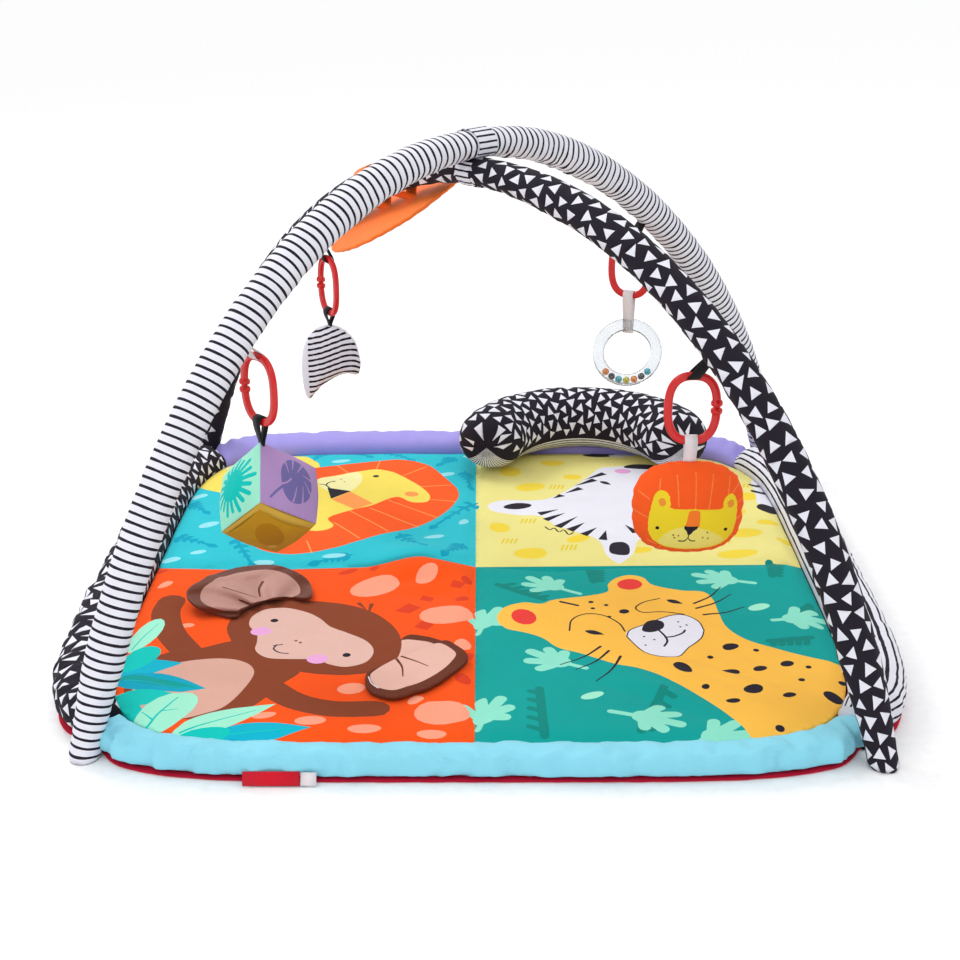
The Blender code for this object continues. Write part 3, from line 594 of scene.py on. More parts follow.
def leopard_corner():
    shapes = []
    combs = ((125, -12, 128, -52), (333, -2, 330, -42), (345, -190, 300, -200), (60, -386, 58, -300),
             (20, -60, 70, -100), (180, -300, 150, -380), (360, -110, 330, -150))
    for x, y, far_x, far_y in combs:
        shapes += comb(DEEP_GREEN, (x, y), (far_x, far_y), 15)
    sprigs = ((110, -84, 46, -36), (307, -59, 240, -44), (106, -258, 48, -226), (124, -345, 196, -366),
              (312, -152, 362, -142), (-2, -175, 12, -130), (-2, -372, 12, -330), (205, -392, 230, -384))
    for x, y, far_x, far_y in sprigs:
        shapes += palm(PALE_MINT, (x, y), (far_x, far_y), 32)
    shapes += [spot(MINT, 302, -121, 14, 7, 30), spot(MINT, 109, -314, 13, 6, 30)]
    return shapes + leopard_print()


def lion_print():
    rays = (
        (-190, 311, -174, 281), (-134, 324, -137, 291), (-72, 302, -100, 268), (-38, 241, -76, 231),
        (-31, 185, -62, 190), (-53, 132, -115, 182), (-75, 103, -137, 156), (-111, 90, -162, 149),
        (-144, 69, -178, 114), (-197, 30, -206, 62),
    )
    shapes = [
        spot(STRAW, -295, 290, 85, 82),
        spot(PALE_STRAW, -302, 330, 60, 34),
        blob(
            MANE, (-240, 296), (-221, 303), (-190, 312), (-147, 321), (-102, 327), (-68, 308), (-44, 262),
            (-29, 226), (-29, 190), (-47, 141), (-78, 102), (-117, 81), (-147, 59), (-178, 38), (-226, 28),
            (-268, 50), (-288, 110), (-292, 180), (-278, 250),
        ),
    ]
    shapes += [brush(RAY, 0.9, (x, y), (far_x, far_y)) for x, y, far_x, far_y in rays]
    shapes += [
        blob(
            STRAW, (-211, 259), (-190, 271), (-162, 284), (-138, 290), (-116, 281), (-97, 259), (-77, 232),
            (-64, 204), (-67, 182), (-86, 179), (-106, 194), (-135, 165), (-156, 153), (-186, 129),
            (-178, 106), (-187, 92), (-206, 92), (-232, 120), (-248, 170), (-240, 220),
        ),
        blob(PALE_STRAW, (-211, 259), (-188, 270), (-162, 282), (-153, 256), (-159, 226), (-170, 210),
             (-198, 218)),
        facet(RAY, (-166, 212), (-134, 171), (-156, 153), (-187, 184)),
        facet(INK, (-196, 226), (-165, 213), (-188, 186)),
        brush(INK, 1.0, (-190, 218), (-199, 236), (-207, 240)),
        brush(INK, 1.0, (-199, 236), (-196, 246), (-188, 250)),
        spot(INK, -136, 265, 4.2),
        spot(RAY, -87, 205, 9, 8),
        spot(INK, -190, 250, 1.2),
        spot(INK, -181, 257, 1.2),
        spot(INK, -176, 247, 1.2),
    ]
    return shapes


def lion_corner():
    shapes = []
    ferns = ((-211, 372, -226, 329), (-129, 366, -93, 329), (-35, 344, -53, 316), (-4, 190, -56, 105),
             (-97, 82, -66, 24), (-366, 78, -318, 50), (-292, 70, -264, 2), (-20, 50, -40, 8),
             (-368, 190, -340, 150), (-170, 372, -150, 345), (-20, 290, -12, 240), (-150, 20, -190, 6))
    for x, y, far_x, far_y in ferns:
        shapes += sprig(FERN, (x, y), (far_x, far_y), 15, 5)
    shapes += pebbles(FOAM, (
        (-187, 328, 13, 6, 10), (-44, 278, 12, 6, 30), (-359, 208, 12, 8, 0), (-55, 71, 13, 6, 20),
        (-170, 20, 14, 6, 5), (-359, 11, 12, 6, 0), (-240, 340, 10, 6, 20), (-20, 120, 9, 5, 60),
        (-330, 110, 14, 7, 40), (-250, 8, 12, 5, 0), (-15, 350, 8, 5, 0), (-330, 30, 10, 5, 30),
    ))
    return shapes + lion_print()


def zebra_print():
    shapes = [
        blob(
            WHITE, (160, 304), (185, 311), (222, 318), (262, 296), (286, 250), (280, 196), (262, 140),
            (236, 96), (204, 68), (188, 62), (179, 24), (162, 2), (148, 18), (143, 55), (130, 74), (108, 90),
            (90, 106), (76, 134), (46, 141), (18, 153), (10, 172), (27, 188), (72, 188), (92, 200),
            (121, 238), (145, 278),
        ),
        spot(INK, 47, 169, 18, 10, 10),
        blob(INK, (154, 24), (172, 20), (176, 42), (170, 56), (157, 54), (152, 40)),
        spot(PINK, 189, 292, 11, 9),
        leaf(INK, (156, 256), (170, 244), 4),
        spot(INK, 165, 360, 26, 13, 10),
        spot(WHITE, 196, 360, 22, 12, 20),
        blob(INK, (192, 306), (205, 320), (232, 316), (246, 296), (226, 300)),
    ]
    wedges = (
        (164, 284, 136, 262), (150, 262, 122, 240), (130, 232, 108, 214), (105, 208, 92, 194),
        (73, 142, 98, 154), (80, 122, 106, 142), (94, 99, 121, 131), (108, 88, 128, 112), (124, 76, 142, 98),
        (146, 62, 152, 90), (188, 84, 176, 110), (216, 110, 196, 130), (240, 150, 212, 158),
        (256, 190, 224, 190), (262, 232, 232, 222), (244, 272, 222, 250),
    )
    for x, y, far_x, far_y in wedges:
        base, tip = Vector((x, y)), Vector((far_x, far_y))
        side = (tip - base).normalized().orthogonal() * 5.5
        shapes.append(facet(INK, tuple(base + side), tuple(base - side), tuple(tip)))
    shapes.append(brush(INK, 1.0, (79, 101), (84, 92), (90, 96), (95, 84), (101, 89), (106, 77), (112, 82)))
    shapes += [
        brush(WHITE, 12, (366, 262), (364, 215), (361, 182)),
        brush(INK, 4, (352, 246), (377, 250)),
        brush(INK, 4, (351, 222), (377, 226)),
        spot(INK, 361, 166, 15, 14),
        brush(WHITE, 15, (350, 372), (366, 330), (368, 300)),
        brush(INK, 4, (340, 340), (377, 352)),
        brush(INK, 4, (348, 314), (377, 322)),
    ]
    return shapes


def zebra_corner():
    shapes = pebbles(BUTTER, (
        (65, 235, 20, 13, 20), (121, 272, 12, 9, 0), (59, 28, 20, 14, 10), (117, 66, 15, 9, 30),
        (97, 323, 16, 10, 0), (339, 202, 18, 13, 20), (318, 84, 22, 14, 10), (364, 62, 12, 9, 0),
        (189, 34, 14, 8, 20), (300, 20, 24, 12, 5), (40, 290, 14, 18, 10), (24, 100, 12, 16, 20),
        (240, 40, 16, 9, 10), (320, 150, 12, 9, 60), (30, 352, 18, 10, 0), (300, 300, 16, 12, 0),
        (352, 120, 14, 8, 10), (92, 172, 10, 7, 0),
    ))
    for x, y in ((50, 120), (26, 60), (96, 44), (330, 240), (280, 60), (90, 236)):
        shapes += [brush(LEMON, 1.2, (x + k * 5, y - 6), (x + k * 5 + 3, y + 6)) for k in range(4)]
    return shapes + zebra_print()


def quarter_grounds():
    """The four ground colours, meeting under the sunken seams."""
    x, y = (c * 1000.0 for c in QUILT_CROSS)
    edge = 420.0
    return [
        facet(ORANGE, (-edge, -edge), (x, -edge), (x, y), (-edge, y)),
        facet(GREEN, (x, -edge), (edge, -edge), (edge, y), (x, y)),
        facet(SAND, (x, y), (edge, y), (edge, edge), (x, edge)),
    ]


# ---- materials ----


class Nodes:
    """Shorthand for building one material's node tree."""

    def __init__(self, name):
        self.material = bpy.data.materials.new(name)
        self.material.use_nodes = True
        self.tree = self.material.node_tree
        self.shader = self.tree.nodes["Principled BSDF"]

    def add(self, kind, **settings):
        node = self.tree.nodes.new(f"ShaderNode{kind}")
        for key, value in settings.items():
            setattr(node, key, value)
        return node

    def link(self, output, node_input):
        self.tree.links.new(output, node_input)

    def fixed(self, **values):
        """Sets the shader's own sockets, such as Sheen_Weight=0.3."""
        for key, value in values.items():
            self.shader.inputs[key.replace("_", " ")].default_value = value

    def noise(self, vector, scale, detail=3.0):
        node = self.add("TexNoise")
        node.inputs["Scale"].default_value = scale
        node.inputs["Detail"].default_value = detail
        self.link(vector, node.inputs["Vector"])
        return node.outputs["Fac"]

    def threads(self, vector, pitch, axis):
        """Ridges of that pitch, one for each thread."""
        node = self.add("TexWave", bands_direction=axis)
        node.inputs["Scale"].default_value = math.pi / (10.0 * pitch)
        node.inputs["Distortion"].default_value = 0.6
        node.inputs["Detail Scale"].default_value = 40.0
        self.link(vector, node.inputs["Vector"])
        return node.outputs["Fac"]

    def math(self, operation, first, second):
        node = self.add("Math", operation=operation)
        for value, socket in ((first, node.inputs[0]), (second, node.inputs[1])):
            if isinstance(value, float):
                socket.default_value = value
            else:
                self.link(value, socket)
        return node.outputs[0]

    def shade(self, colour, factor, low, high):
        """Darkens or lightens a colour between two shares of itself."""
        spread = self.add("MapRange")
        spread.inputs["To Min"].default_value = low
        spread.inputs["To Max"].default_value = high
        self.link(factor, spread.inputs["Value"])
        mix = self.add("Mix", data_type="RGBA", blend_type="MULTIPLY")
        mix.inputs["Factor"].default_value = 1.0
        self.link(colour, mix.inputs["A"])
        self.link(spread.outputs["Result"], mix.inputs["B"])
        return mix.outputs["Result"]

    def bump(self, heights):
        """Layers of relief: (height, depth in metres), the coarse ones first."""
        normal = None
        for height, depth in heights:
            node = self.add("Bump")
            node.inputs["Strength"].default_value = 1.0
            node.inputs["Distance"].default_value = depth
            self.link(height, node.inputs["Height"])
            if normal is not None:
                self.link(normal, node.inputs["Normal"])
            normal = node.outputs["Normal"]
        self.link(normal, self.shader.inputs["Normal"])


def fabric(name, rough=0.88, sheen=0.03, pitch=0.0007, wrinkle=0.0006, weave=0.00006, colour=None):
    """Woven cloth with its print, or in one dyed colour, slightly uneven, creased and woven."""
    nodes = Nodes(name)
    place = nodes.add("TexCoord").outputs["Object"]
    cloth = nodes.add("Attribute", attribute_name="cloth").outputs["Vector"]
    if colour is None:
        dye = nodes.add("Attribute", attribute_name="print").outputs["Color"]
    else:
        flat = nodes.add("RGB")
        flat.outputs[0].default_value = (*colour, 1.0)
        dye = flat.outputs[0]
    warp, weft = nodes.threads(cloth, pitch, "X"), nodes.threads(cloth, pitch, "Y")
    both = nodes.math("MULTIPLY", warp, weft)
    dye = nodes.shade(dye, nodes.noise(place, 22.0), 0.93, 1.05)
    dye = nodes.shade(dye, both, 0.965, 1.02)
    nodes.link(dye, nodes.shader.inputs["Base Color"])
    nodes.fixed(Roughness=rough, Sheen_Weight=sheen, Sheen_Roughness=0.5, Specular_IOR_Level=0.15)
    nodes.bump([(nodes.noise(place, 45.0, 4.0), wrinkle), (both, weave)])
    return nodes.material


def moulded(name, colour, rough, coat=0.0, grain=90.0, depth=0.00005, metallic=0.0):
    """Moulded plastic with a faint flow texture and handling marks."""
    nodes = Nodes(name)
    place = nodes.add("TexCoord").outputs["Object"]
    flat = nodes.add("RGB")
    flat.outputs[0].default_value = (*colour, 1.0)
    flow = nodes.noise(place, grain)
    nodes.link(nodes.shade(flat.outputs[0], flow, 0.92, 1.06), nodes.shader.inputs["Base Color"])
    gloss = nodes.add("MapRange")
    gloss.inputs["To Min"].default_value = rough * 0.8
    gloss.inputs["To Max"].default_value = rough * 1.3
    nodes.link(nodes.noise(place, grain * 3.0), gloss.inputs["Value"])
    nodes.link(gloss.outputs["Result"], nodes.shader.inputs["Roughness"])
    nodes.fixed(Coat_Weight=coat, Coat_Roughness=0.08, Metallic=metallic)
    nodes.bump([(flow, depth)])
    return nodes.material


def webbing(name, colour):
    """Narrow woven ribbon with clear ribs across it."""
    return fabric(name, rough=0.75, sheen=0.1, pitch=0.0011, wrinkle=0.0002, weave=0.00018, colour=colour)


def clear_shell():
    nodes = Nodes("clear_plastic_look")
    place = nodes.add("TexCoord").outputs["Object"]
    tint = nodes.add("RGB")
    tint.outputs[0].default_value = (*srgb(246, 248, 250), 1.0)
    flow = nodes.noise(place, 60.0)
    nodes.link(nodes.shade(tint.outputs[0], flow, 0.95, 1.0), nodes.shader.inputs["Base Color"])
    nodes.fixed(Roughness=0.03, Transmission_Weight=0.97, IOR=1.14, Coat_Weight=0.25)
    nodes.bump([(flow, 0.0002)])
    return nodes.material


def mirror_face():
    """Flexible mirror film: bright, a little uneven, with fine scratches."""
    return moulded("mirror_film_look", srgb(225, 228, 232), 0.06, grain=14.0, depth=0.0004, metallic=1.0)


PRINTED = fabric("printed_cotton_look")
STUFFED = fabric("stuffed_cotton_look", wrinkle=0.0008)
SATIN = fabric("satin_look", rough=0.45, sheen=0.05, pitch=0.0005, wrinkle=0.0012, weave=0.00002)
BACKING = fabric("backing_look", rough=0.7, wrinkle=0.0010)
BLACK_WEBBING = webbing("black_webbing_look", srgb(26, 25, 28))
WHITE_WEBBING = webbing("white_webbing_look", srgb(236, 228, 232))
RED_WEBBING = webbing("red_label_look", srgb(214, 22, 44))
RED_GLOSS = moulded("red_link_look", RED_PLASTIC, 0.30, coat=0.12)


# ---- the mat ----


def superellipse(half_x, half_y, power, angle):
    """The point of a superellipse that a ray from the centre meets at this angle."""
    c, s = math.cos(angle), math.sin(angle)
    reach = (abs(c / half_x) ** power + abs(s / half_y) ** power) ** (-1.0 / power)
    return Vector((reach * c, reach * s))


def panel_edge(margin, angle):
    edge = superellipse(PANEL_HALF_X - margin, PANEL_HALF_Y - margin, PANEL_POWER, angle)
    return edge + Vector((0.0, PANEL_SHIFT))


def notched(half, power, angle):
    edge = superellipse(half, half, power, angle)
    off_diagonal = (angle % (math.pi / 2.0) - math.pi / 4.0) / NOTCH_SPREAD
    return edge - edge.normalized() * NOTCH_DEPTH * math.exp(-(off_diagonal**2))


def bell(distance, width):
    return math.exp(-((distance / width) ** 2))


HUMPS = ((-0.068, 0.000, 0.016, 0.044), (0.360, 0.010, 0.006, 0.060), (-0.240, -0.010, -0.004, 0.060),
         (0.080, -0.015, -0.004, 0.050), (0.220, -0.120, 0.004, 0.080), (-0.160, 0.190, 0.004, 0.090),
         (-0.050, -0.078, -0.007, 0.032), (-0.110, 0.300, 0.003, 0.060), (0.120, 0.120, 0.003, 0.060))
CREASES = (
    ((0.150, -0.220), (0.290, -0.350), 0.0016), ((0.160, -0.200), (0.310, -0.300), -0.0014),
    ((0.190, -0.235), (0.330, -0.330), 0.0014), ((0.210, -0.200), (0.340, -0.270), -0.0012),
    ((0.090, -0.270), (0.220, -0.360), -0.0013), ((0.130, -0.255), (0.240, -0.360), 0.0013),
    ((-0.130, -0.060), (-0.030, -0.040), -0.0022), ((-0.340, -0.060), (-0.250, -0.110), 0.0012),
    ((-0.080, -0.300), (-0.020, -0.370), 0.0012), ((0.060, 0.020), (0.110, 0.100), 0.0011),
    ((-0.350, -0.250), (-0.260, -0.330), -0.0013), ((-0.090, 0.060), (-0.020, 0.120), -0.0010),
)
CREASE_GAIN = 1.6


def crease(x, y, start, end, depth, width=0.0075):
    """A soft fold along a line, fading at both ends."""
    run_x, run_y = end[0] - start[0], end[1] - start[1]
    length = math.hypot(run_x, run_y)
    along = ((x - start[0]) * run_x + (y - start[1]) * run_y) / length**2
    if not -0.3 < along < 1.3:
        return 0.0
    off = ((x - start[0]) * run_y - (y - start[1]) * run_x) / length
    return depth * bell(off, width) * bell(along - 0.5, 0.42)


def relief(x, y):
    """The height of the quilted panel: four padded quarters, sunken seams, humps and creases."""
    share = (abs(x / PANEL_HALF_X) ** PANEL_POWER + abs((y - PANEL_SHIFT) / PANEL_HALF_Y) ** PANEL_POWER) ** (
        1.0 / PANEL_POWER
    )
    edge = 1.0 - bell(max(1.0 - share, 0.0), 0.030)
    seams = (1.0 - 0.8 * bell(x - QUILT_CROSS[0], 0.009)) * (1.0 - 0.8 * bell(y - QUILT_CROSS[1], 0.009))
    height = PANEL_BASE + PANEL_PUFF * seams * (0.25 + 0.75 * edge)
    height += sum(h * math.exp(-((x - a) ** 2 + (y - b) ** 2) / w**2) for a, b, h, w in HUMPS) * edge
    height += CREASE_GAIN * sum(crease(x, y, *fold) for fold in CREASES)
    height += 0.0011 * noise.noise(Vector((x * 14.0, y * 14.0, 0.0)))
    return height + 0.0004 * noise.noise(Vector((x * 60.0, y * 60.0, 1.0)))


def skirt(obj, level):
    """Draws the open edge of a sheet down to a level and closes it there."""
    bm = bmesh.new()
    bm.from_mesh(obj.data)
    rim = [e for e in bm.edges if e.is_boundary]
    made = bmesh.ops.extrude_edge_only(bm, edges=rim)["geom"]
    lower = [v for v in made if isinstance(v, bmesh.types.BMVert)]
    for vertex in lower:
        vertex.co.z = level
    bmesh.ops.holes_fill(bm, edges=[e for e in bm.edges if e.is_boundary], sides=0)
    bmesh.ops.recalc_face_normals(bm, faces=bm.faces)
    bm.to_mesh(obj.data)
    bm.free()


def mat_panel():
    outline = [panel_edge(0.0004, math.tau * i / 260) for i in range(260)]
    shapes = quarter_grounds() + lion_corner() + zebra_corner() + leopard_corner() + monkey_corner()
    cloth = cut(outline, shapes, SEA, 0.0065, lambda u, v: Vector((u, v, relief(u, v))))
    panel = sew("printed_panel", [cloth], PRINTED)
    skirt(panel, 0.0168)
    place_piece(panel, "mat", ["mat_panel"], "panel_fabric")


# How far from the mat's middle a border's length is measured, and how long its rounded ends are.
BORDER_LINE, BORDER_END = 0.4, 0.010


def border_place(side_angle, height, run, girth, puckers):
    """Lays a flat strip round a padded border: u goes round its section and v along the mat's side."""

    def place(u, v):
        angle = side_angle + math.atan(v / BORDER_LINE)
        inner, outer = panel_edge(-0.0016, angle), notched(BORDER_HALF, BORDER_POWER, angle)
        turn = math.tau * u / girth - math.pi / 2.0
        end = bell(run - abs(v), BORDER_END) if abs(v) < run else 1.0
        skew = v + 0.018 * math.cos(turn) * (1.0 if v > 0.0 else -1.0)
        gather = puckers * noise.noise(Vector((skew * 42.0, math.cos(turn) * 1.2, side_angle)))
        ridges = abs(noise.noise(Vector((skew * 78.0, math.cos(turn) * 0.8, side_angle + 7.0))))
        gather += puckers * (0.35 - 1.5 * ridges)
        gather += puckers * 0.6 * bell(run - abs(v), 0.10) * math.sin(skew * 210.0)
        half_height = (height - BORDER_FLOOR) / 2.0
        across = math.copysign(abs(math.cos(turn)) ** 0.72, math.cos(turn)) * (1.0 - 0.05 * end)
        rise = math.copysign(abs(math.sin(turn)) ** 0.80, math.sin(turn)) * (1.0 - 0.45 * end)
        flat = (inner + outer) / 2.0 + (outer - inner) / 2.0 * across
        lift = gather * max(math.sin(turn) + 0.35, 0.0) * (0.58 + 0.42 * math.cos(turn))
        outward = (outer - inner).normalized() * gather * 0.9 * max(math.cos(turn), 0.0)
        return Vector((*(flat + outward), BORDER_FLOOR + half_height * (1.0 + rise) + lift))

    return place


def border(name, side_degrees, half_angle, height, artwork, ground, material, slot, puckers):
    run = BORDER_LINE * math.tan(half_angle - 0.0014)
    girth = 0.136 if height > 0.041 else 0.122
    place = border_place(math.radians(side_degrees), height, run, girth, puckers)
    outline = rectangle(0.0, girth, -run, run, 0.005)
    cloth = cut(outline, artwork(0.0, girth, -run, run), ground, 0.005, place)
    strip = sew(f"{name}_cover", [cloth], material, fill=ground)
    place_piece(strip, "mat", [name], slot)


def plain(*_):
    return []


def waver(strength, scale=24.0):
    """How far gathered cloth moves its stripes."""
    return lambda run, middle: strength * noise.noise(Vector((run * scale, middle * scale, 5.0)))


def borders():
    side, other = SEAM_ANGLE, math.pi / 2.0 - SEAM_ANGLE
    border("border_right", 0, side, 0.045, lambda *b: stripe_print(*b, True, waver(0.0005)), WHITE, STUFFED,
           "stripe_fabric", 0.0014)
    border("border_back", 90, other, 0.040, plain, LILAC, SATIN, "lilac_satin", 0.0017)
    border("border_left", 180, side, 0.045, lambda *b: triangle_print(*b, 4), NIGHT, STUFFED,
           "triangle_fabric", 0.0034)
    border("border_front", 270, other, 0.030, plain, BLUE, SATIN, "blue_satin", 0.0052)


def mat_backing():
    """The red underside, whose soft edge shows below the borders."""
    rings = []
    for level, inset in ((0.0, 0.003), (0.0004, 0.0006), (0.0014, 0.0),
                         (0.0021, 0.0006), (BACKING_THICK, 0.004)):
        ring = []
        for i in range(480):
            angle = math.tau * i / 480
            ripple = 0.0007 * noise.noise(Vector((math.cos(angle) * 26.0, math.sin(angle) * 26.0, 2.0)))
            edge = notched(BACKING_HALF - 0.0034, BACKING_POWER, angle)
            ring.append(Vector((*(edge - edge.normalized() * (inset - ripple)), level)))
        rings.append(ring)
    backing = loft_piece("backing_cloth", rings, BACKING, BACKING_RED)
    place_piece(backing, "mat", ["mat_backing"], "backing_fabric")


def loft_piece(name, rings, material, colour, closed=False):
    """Joins rings of equally many points into a piece of one colour. Without closed, its ends are filled."""
    bm = bmesh.new()
    loops = [[bm.verts.new(point) for point in ring] for ring in rings]
    pairs = list(zip(loops, loops[1:])) + ([(loops[-1], loops[0])] if closed else [])
    for first, second in pairs:
        for i in range(len(first)):
            j = (i + 1) % len(first)
            bm.faces.new((first[i], first[j], second[j], second[i]))
    if not closed:
        bm.faces.new(loops[0])
        bm.faces.new(loops[-1])
    bmesh.ops.recalc_face_normals(bm, faces=bm.faces)
    mesh = bpy.data.meshes.new(name)
    bm.to_mesh(mesh)
    bm.free()
    return dyed(piece(name, mesh, material), colour)


def dyed(obj, colour):
    """Gives a whole piece one print colour and a weave laid by the largest side of each part of it."""
    mesh = obj.data
    printed = mesh.attributes.new("print", "FLOAT_COLOR", "CORNER")
    printed.data.foreach_set("color", (*colour, 1.0) * len(mesh.loops))
    weave = mesh.attributes.new("cloth", "FLOAT_VECTOR", "POINT")
    weave.data.foreach_set("vector", [x for v in mesh.vertices for x in (v.co.x, v.co.y + v.co.z, 0.0)])
    return obj


def band_section(point, half, normal):
    """The four corners of a flat band at one point of its line."""
    return [point - half - normal, point + half - normal, point + half + normal, point - half + normal]


def strip_piece(name, line, across, half_width, thick, material, colour):
    """A flat band that follows a line of points."""
    rings = []
    for i, point in enumerate(line):
        along = (line[min(i + 1, len(line) - 1)] - line[max(i - 1, 0)]).normalized()
        normal = along.cross(across).normalized() * thick / 2.0
        rings.append(band_section(point, across * half_width, normal))
    return loft_piece(name, rings, material, colour)


def line_length(line):
    return sum((b - a).length for a, b in zip(line, line[1:]))


def edge_labels():
    """Blank labels, folded over and sewn into the front seam."""
    labels = (("side_label", RED_WEBBING, srgb(214, 22, 44), "label_red"),
              ("care_label", WHITE_WEBBING, srgb(236, 234, 238), "white_ribbon"))
    for name, material, colour, slot in labels:
        low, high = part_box(name)
        middle_x, front = (low.x + high.x) / 2.0, low.y
        line = []
        for i in range(9):
            t = i / 8.0
            lean = 0.0012 - 0.0050 * math.sin(0.62 * math.pi * t)
            line.append(Vector((middle_x + 0.005, front + lean, high.z - 0.003 + (0.0042 - high.z) * t)))
        across, width = Vector((1, 0, 0)), high.x - low.x
        label = strip_piece(f"{name}_cloth", line, across, width / 2.0, 0.0008, material, colour)
        line_length(line)
        place_piece(label, "mat", [name], slot)


def corner_tabs():
    for name, degrees in (("back_right", 45), ("back_left", 135), ("front_left", 225), ("front_right", 315)):
        turn = Matrix.Rotation(math.radians(degrees), 3, "Z")
        line = [turn @ Vector((0.5060 + 0.0011 * i, 0.0, 0.0042 - 0.00002 * i * i)) for i in range(13)]
        across = turn @ Vector((0.0, 1.0, 0.0))
        tab = strip_piece(f"corner_webbing_{name}", line, across, 0.008, 0.0016, BLACK_WEBBING, INK)
        line_length(line)
        place_piece(tab, "mat", [f"corner_tab_{name}"], "webbing")


# ---- the arches ----


def half_arch(foot, far_foot, top, shape, spans):
    """Points from a foot to the crossing, on the Bezier that a bent rod follows."""
    lean, foot_handle, top_handle, bow = shape
    start = Vector((*foot, 0.0))
    end = Vector((*CROSSING, top))
    along = (Vector((*far_foot, 0.0)) - start).normalized()
    inward = (end - start).to_2d().normalized().to_3d()
    sideways = Vector((-inward.y, inward.x, 0.0))
    rise = Vector((0.0, 0.0, math.cos(lean))) + inward * math.sin(lean) + sideways * math.sin(bow)
    knots = (start, start + rise * foot_handle, end - along * top_handle, end)
    points = []
    for i in range(spans + 1):
        t = i / spans
        weights = ((1 - t) ** 3, 3 * t * (1 - t) ** 2, 3 * t * t * (1 - t), t**3)
        points.append(sum((k * w for k, w in zip(knots, weights)), Vector()))
    return points


def arch_route(feet, top, halves, spans):
    front = half_arch(feet[0], feet[1], top, halves[0], spans)
    back = half_arch(feet[1], feet[0], top, halves[1], spans)
    return front + back[-2::-1]


STRIPED_ROUTE = arch_route(STRIPED_FEET, STRIPED_TOP, STRIPED_HALVES, FINE_SPANS)
TRIANGLE_ROUTE = arch_route(TRIANGLE_FEET, TRIANGLE_TOP, TRIANGLE_HALVES, FINE_SPANS)


class Arch:
    """An arch's centreline, read by the distance along it."""

    def __init__(self, route):
        self.route = route
        self.reach = [0.0]
        for a, b in zip(route, route[1:]):
            self.reach.append(self.reach[-1] + (b - a).length)
        self.length = self.reach[-1]
        self.crossing = self.reach[len(route) // 2]
        self.plan_side = Vector((0, 0, 1)).cross(route[-1] - route[0]).normalized()

    def at(self, distance):
        """The centre, the tangent and the side and up directions at a distance from the front foot."""
        i = min(max(bisect.bisect_right(self.reach, distance) - 1, 0), len(self.route) - 2)
        share = (distance - self.reach[i]) / (self.reach[i + 1] - self.reach[i])
        centre = self.route[i].lerp(self.route[i + 1], share)
        ahead = self.route[min(i + 2, len(self.route) - 1)] - self.route[i]
        behind = self.route[i + 1] - self.route[max(i - 1, 0)]
        tangent = behind.normalized().lerp(ahead.normalized(), share).normalized()
        up = self.plan_side.cross(tangent).normalized() * -1.0
        return centre, tangent, tangent.cross(up), up

    def radius(self, centre, distance):
        """The half-width and half-height of the sleeve there."""
        rise = min(centre.z / FOOT_TAPER, 1.0)
        foot = FOOT_RADIUS / SLEEVE_RADIUS
        wide = SLEEVE_RADIUS * (foot + (1.0 - foot) * rise * rise * (3.0 - 2.0 * rise))
        near = bell(distance - self.crossing, CROSSING_SQUASH_LENGTH)
        return wide, wide * (1.0 - CROSSING_SQUASH * near)


def sleeve(name, route, artwork, ground, gathers, slot, body):
    """A sewn fabric tube over the foam. u goes round it from the underside and v along it."""
    arch = Arch(route)
    girth = math.tau * SLEEVE_RADIUS
    hem, foot = 0.006, 0.012

    def place(u, v):
        within = min(max(v, 0.0), arch.length)
        from_end = min(within, arch.length - within)
        tucked = max(-v, v - arch.length, 0.0) / hem
        centre, tangent, side, up = arch.at(within)
        wide, high = arch.radius(centre, within)
        turn = math.tau * u / girth - math.pi / 2.0
        under = max(-math.sin(turn) + 0.25, 0.0)
        fold = noise.noise(Vector((within * 75.0, math.cos(turn) * 1.3, math.sin(turn) * 1.3)))
        fold += 0.5 * noise.noise(Vector((within * 170.0, math.cos(turn) * 2.0, math.sin(turn) * 2.0)))
        lift = (0.0006 + gathers(within - arch.crossing) * under) * fold
        lift -= 0.0016 * bell(from_end, 0.0030)
        size = 1.0 - 0.13 * tucked
        laid = centre + side * (wide * size + lift) * math.cos(turn)
        laid += up * (high * size + lift) * math.sin(turn)
        if from_end < foot:
            share = 1.0 - from_end / foot
            laid += tangent * (-(laid.z - 0.0004 - from_end) / tangent.z) * share
        laid.z = max(laid.z + 0.004 * tucked, 0.0003)
        return laid

    outline = rectangle(0.0, girth, -hem, arch.length + hem, 0.0042)
    cloth = cut(outline, artwork(0.0, girth, -hem, arch.length + hem), ground, 0.0042, place)
    tube = sew(f"{name}_cover", [cloth], STUFFED)
    place_piece(tube, body, [f"{name}_sleeve"], slot)


def striped_gathers(past):
    """The striped sleeve bunches up under the bend behind the crossing."""
    return 0.0004 + 0.0016 * bell(past - 0.13, 0.12) + 0.0007 * bell(past + 0.1, 0.1)


def triangle_gathers(past):
    return 0.0003 + 0.0005 * bell(past, 0.15)


def striped_waver(arch_length):
    """Stripes run askew where the sleeve is bunched."""

    def shift(run, middle):
        past = middle - arch_length * 0.505
        strength = 0.0005 + 0.0030 * bell(past - 0.14, 0.13) + 0.0010 * bell(past + 0.12, 0.12)
        return strength * noise.noise(Vector((run * 48.0, middle * 26.0, 9.0)))

    return shift


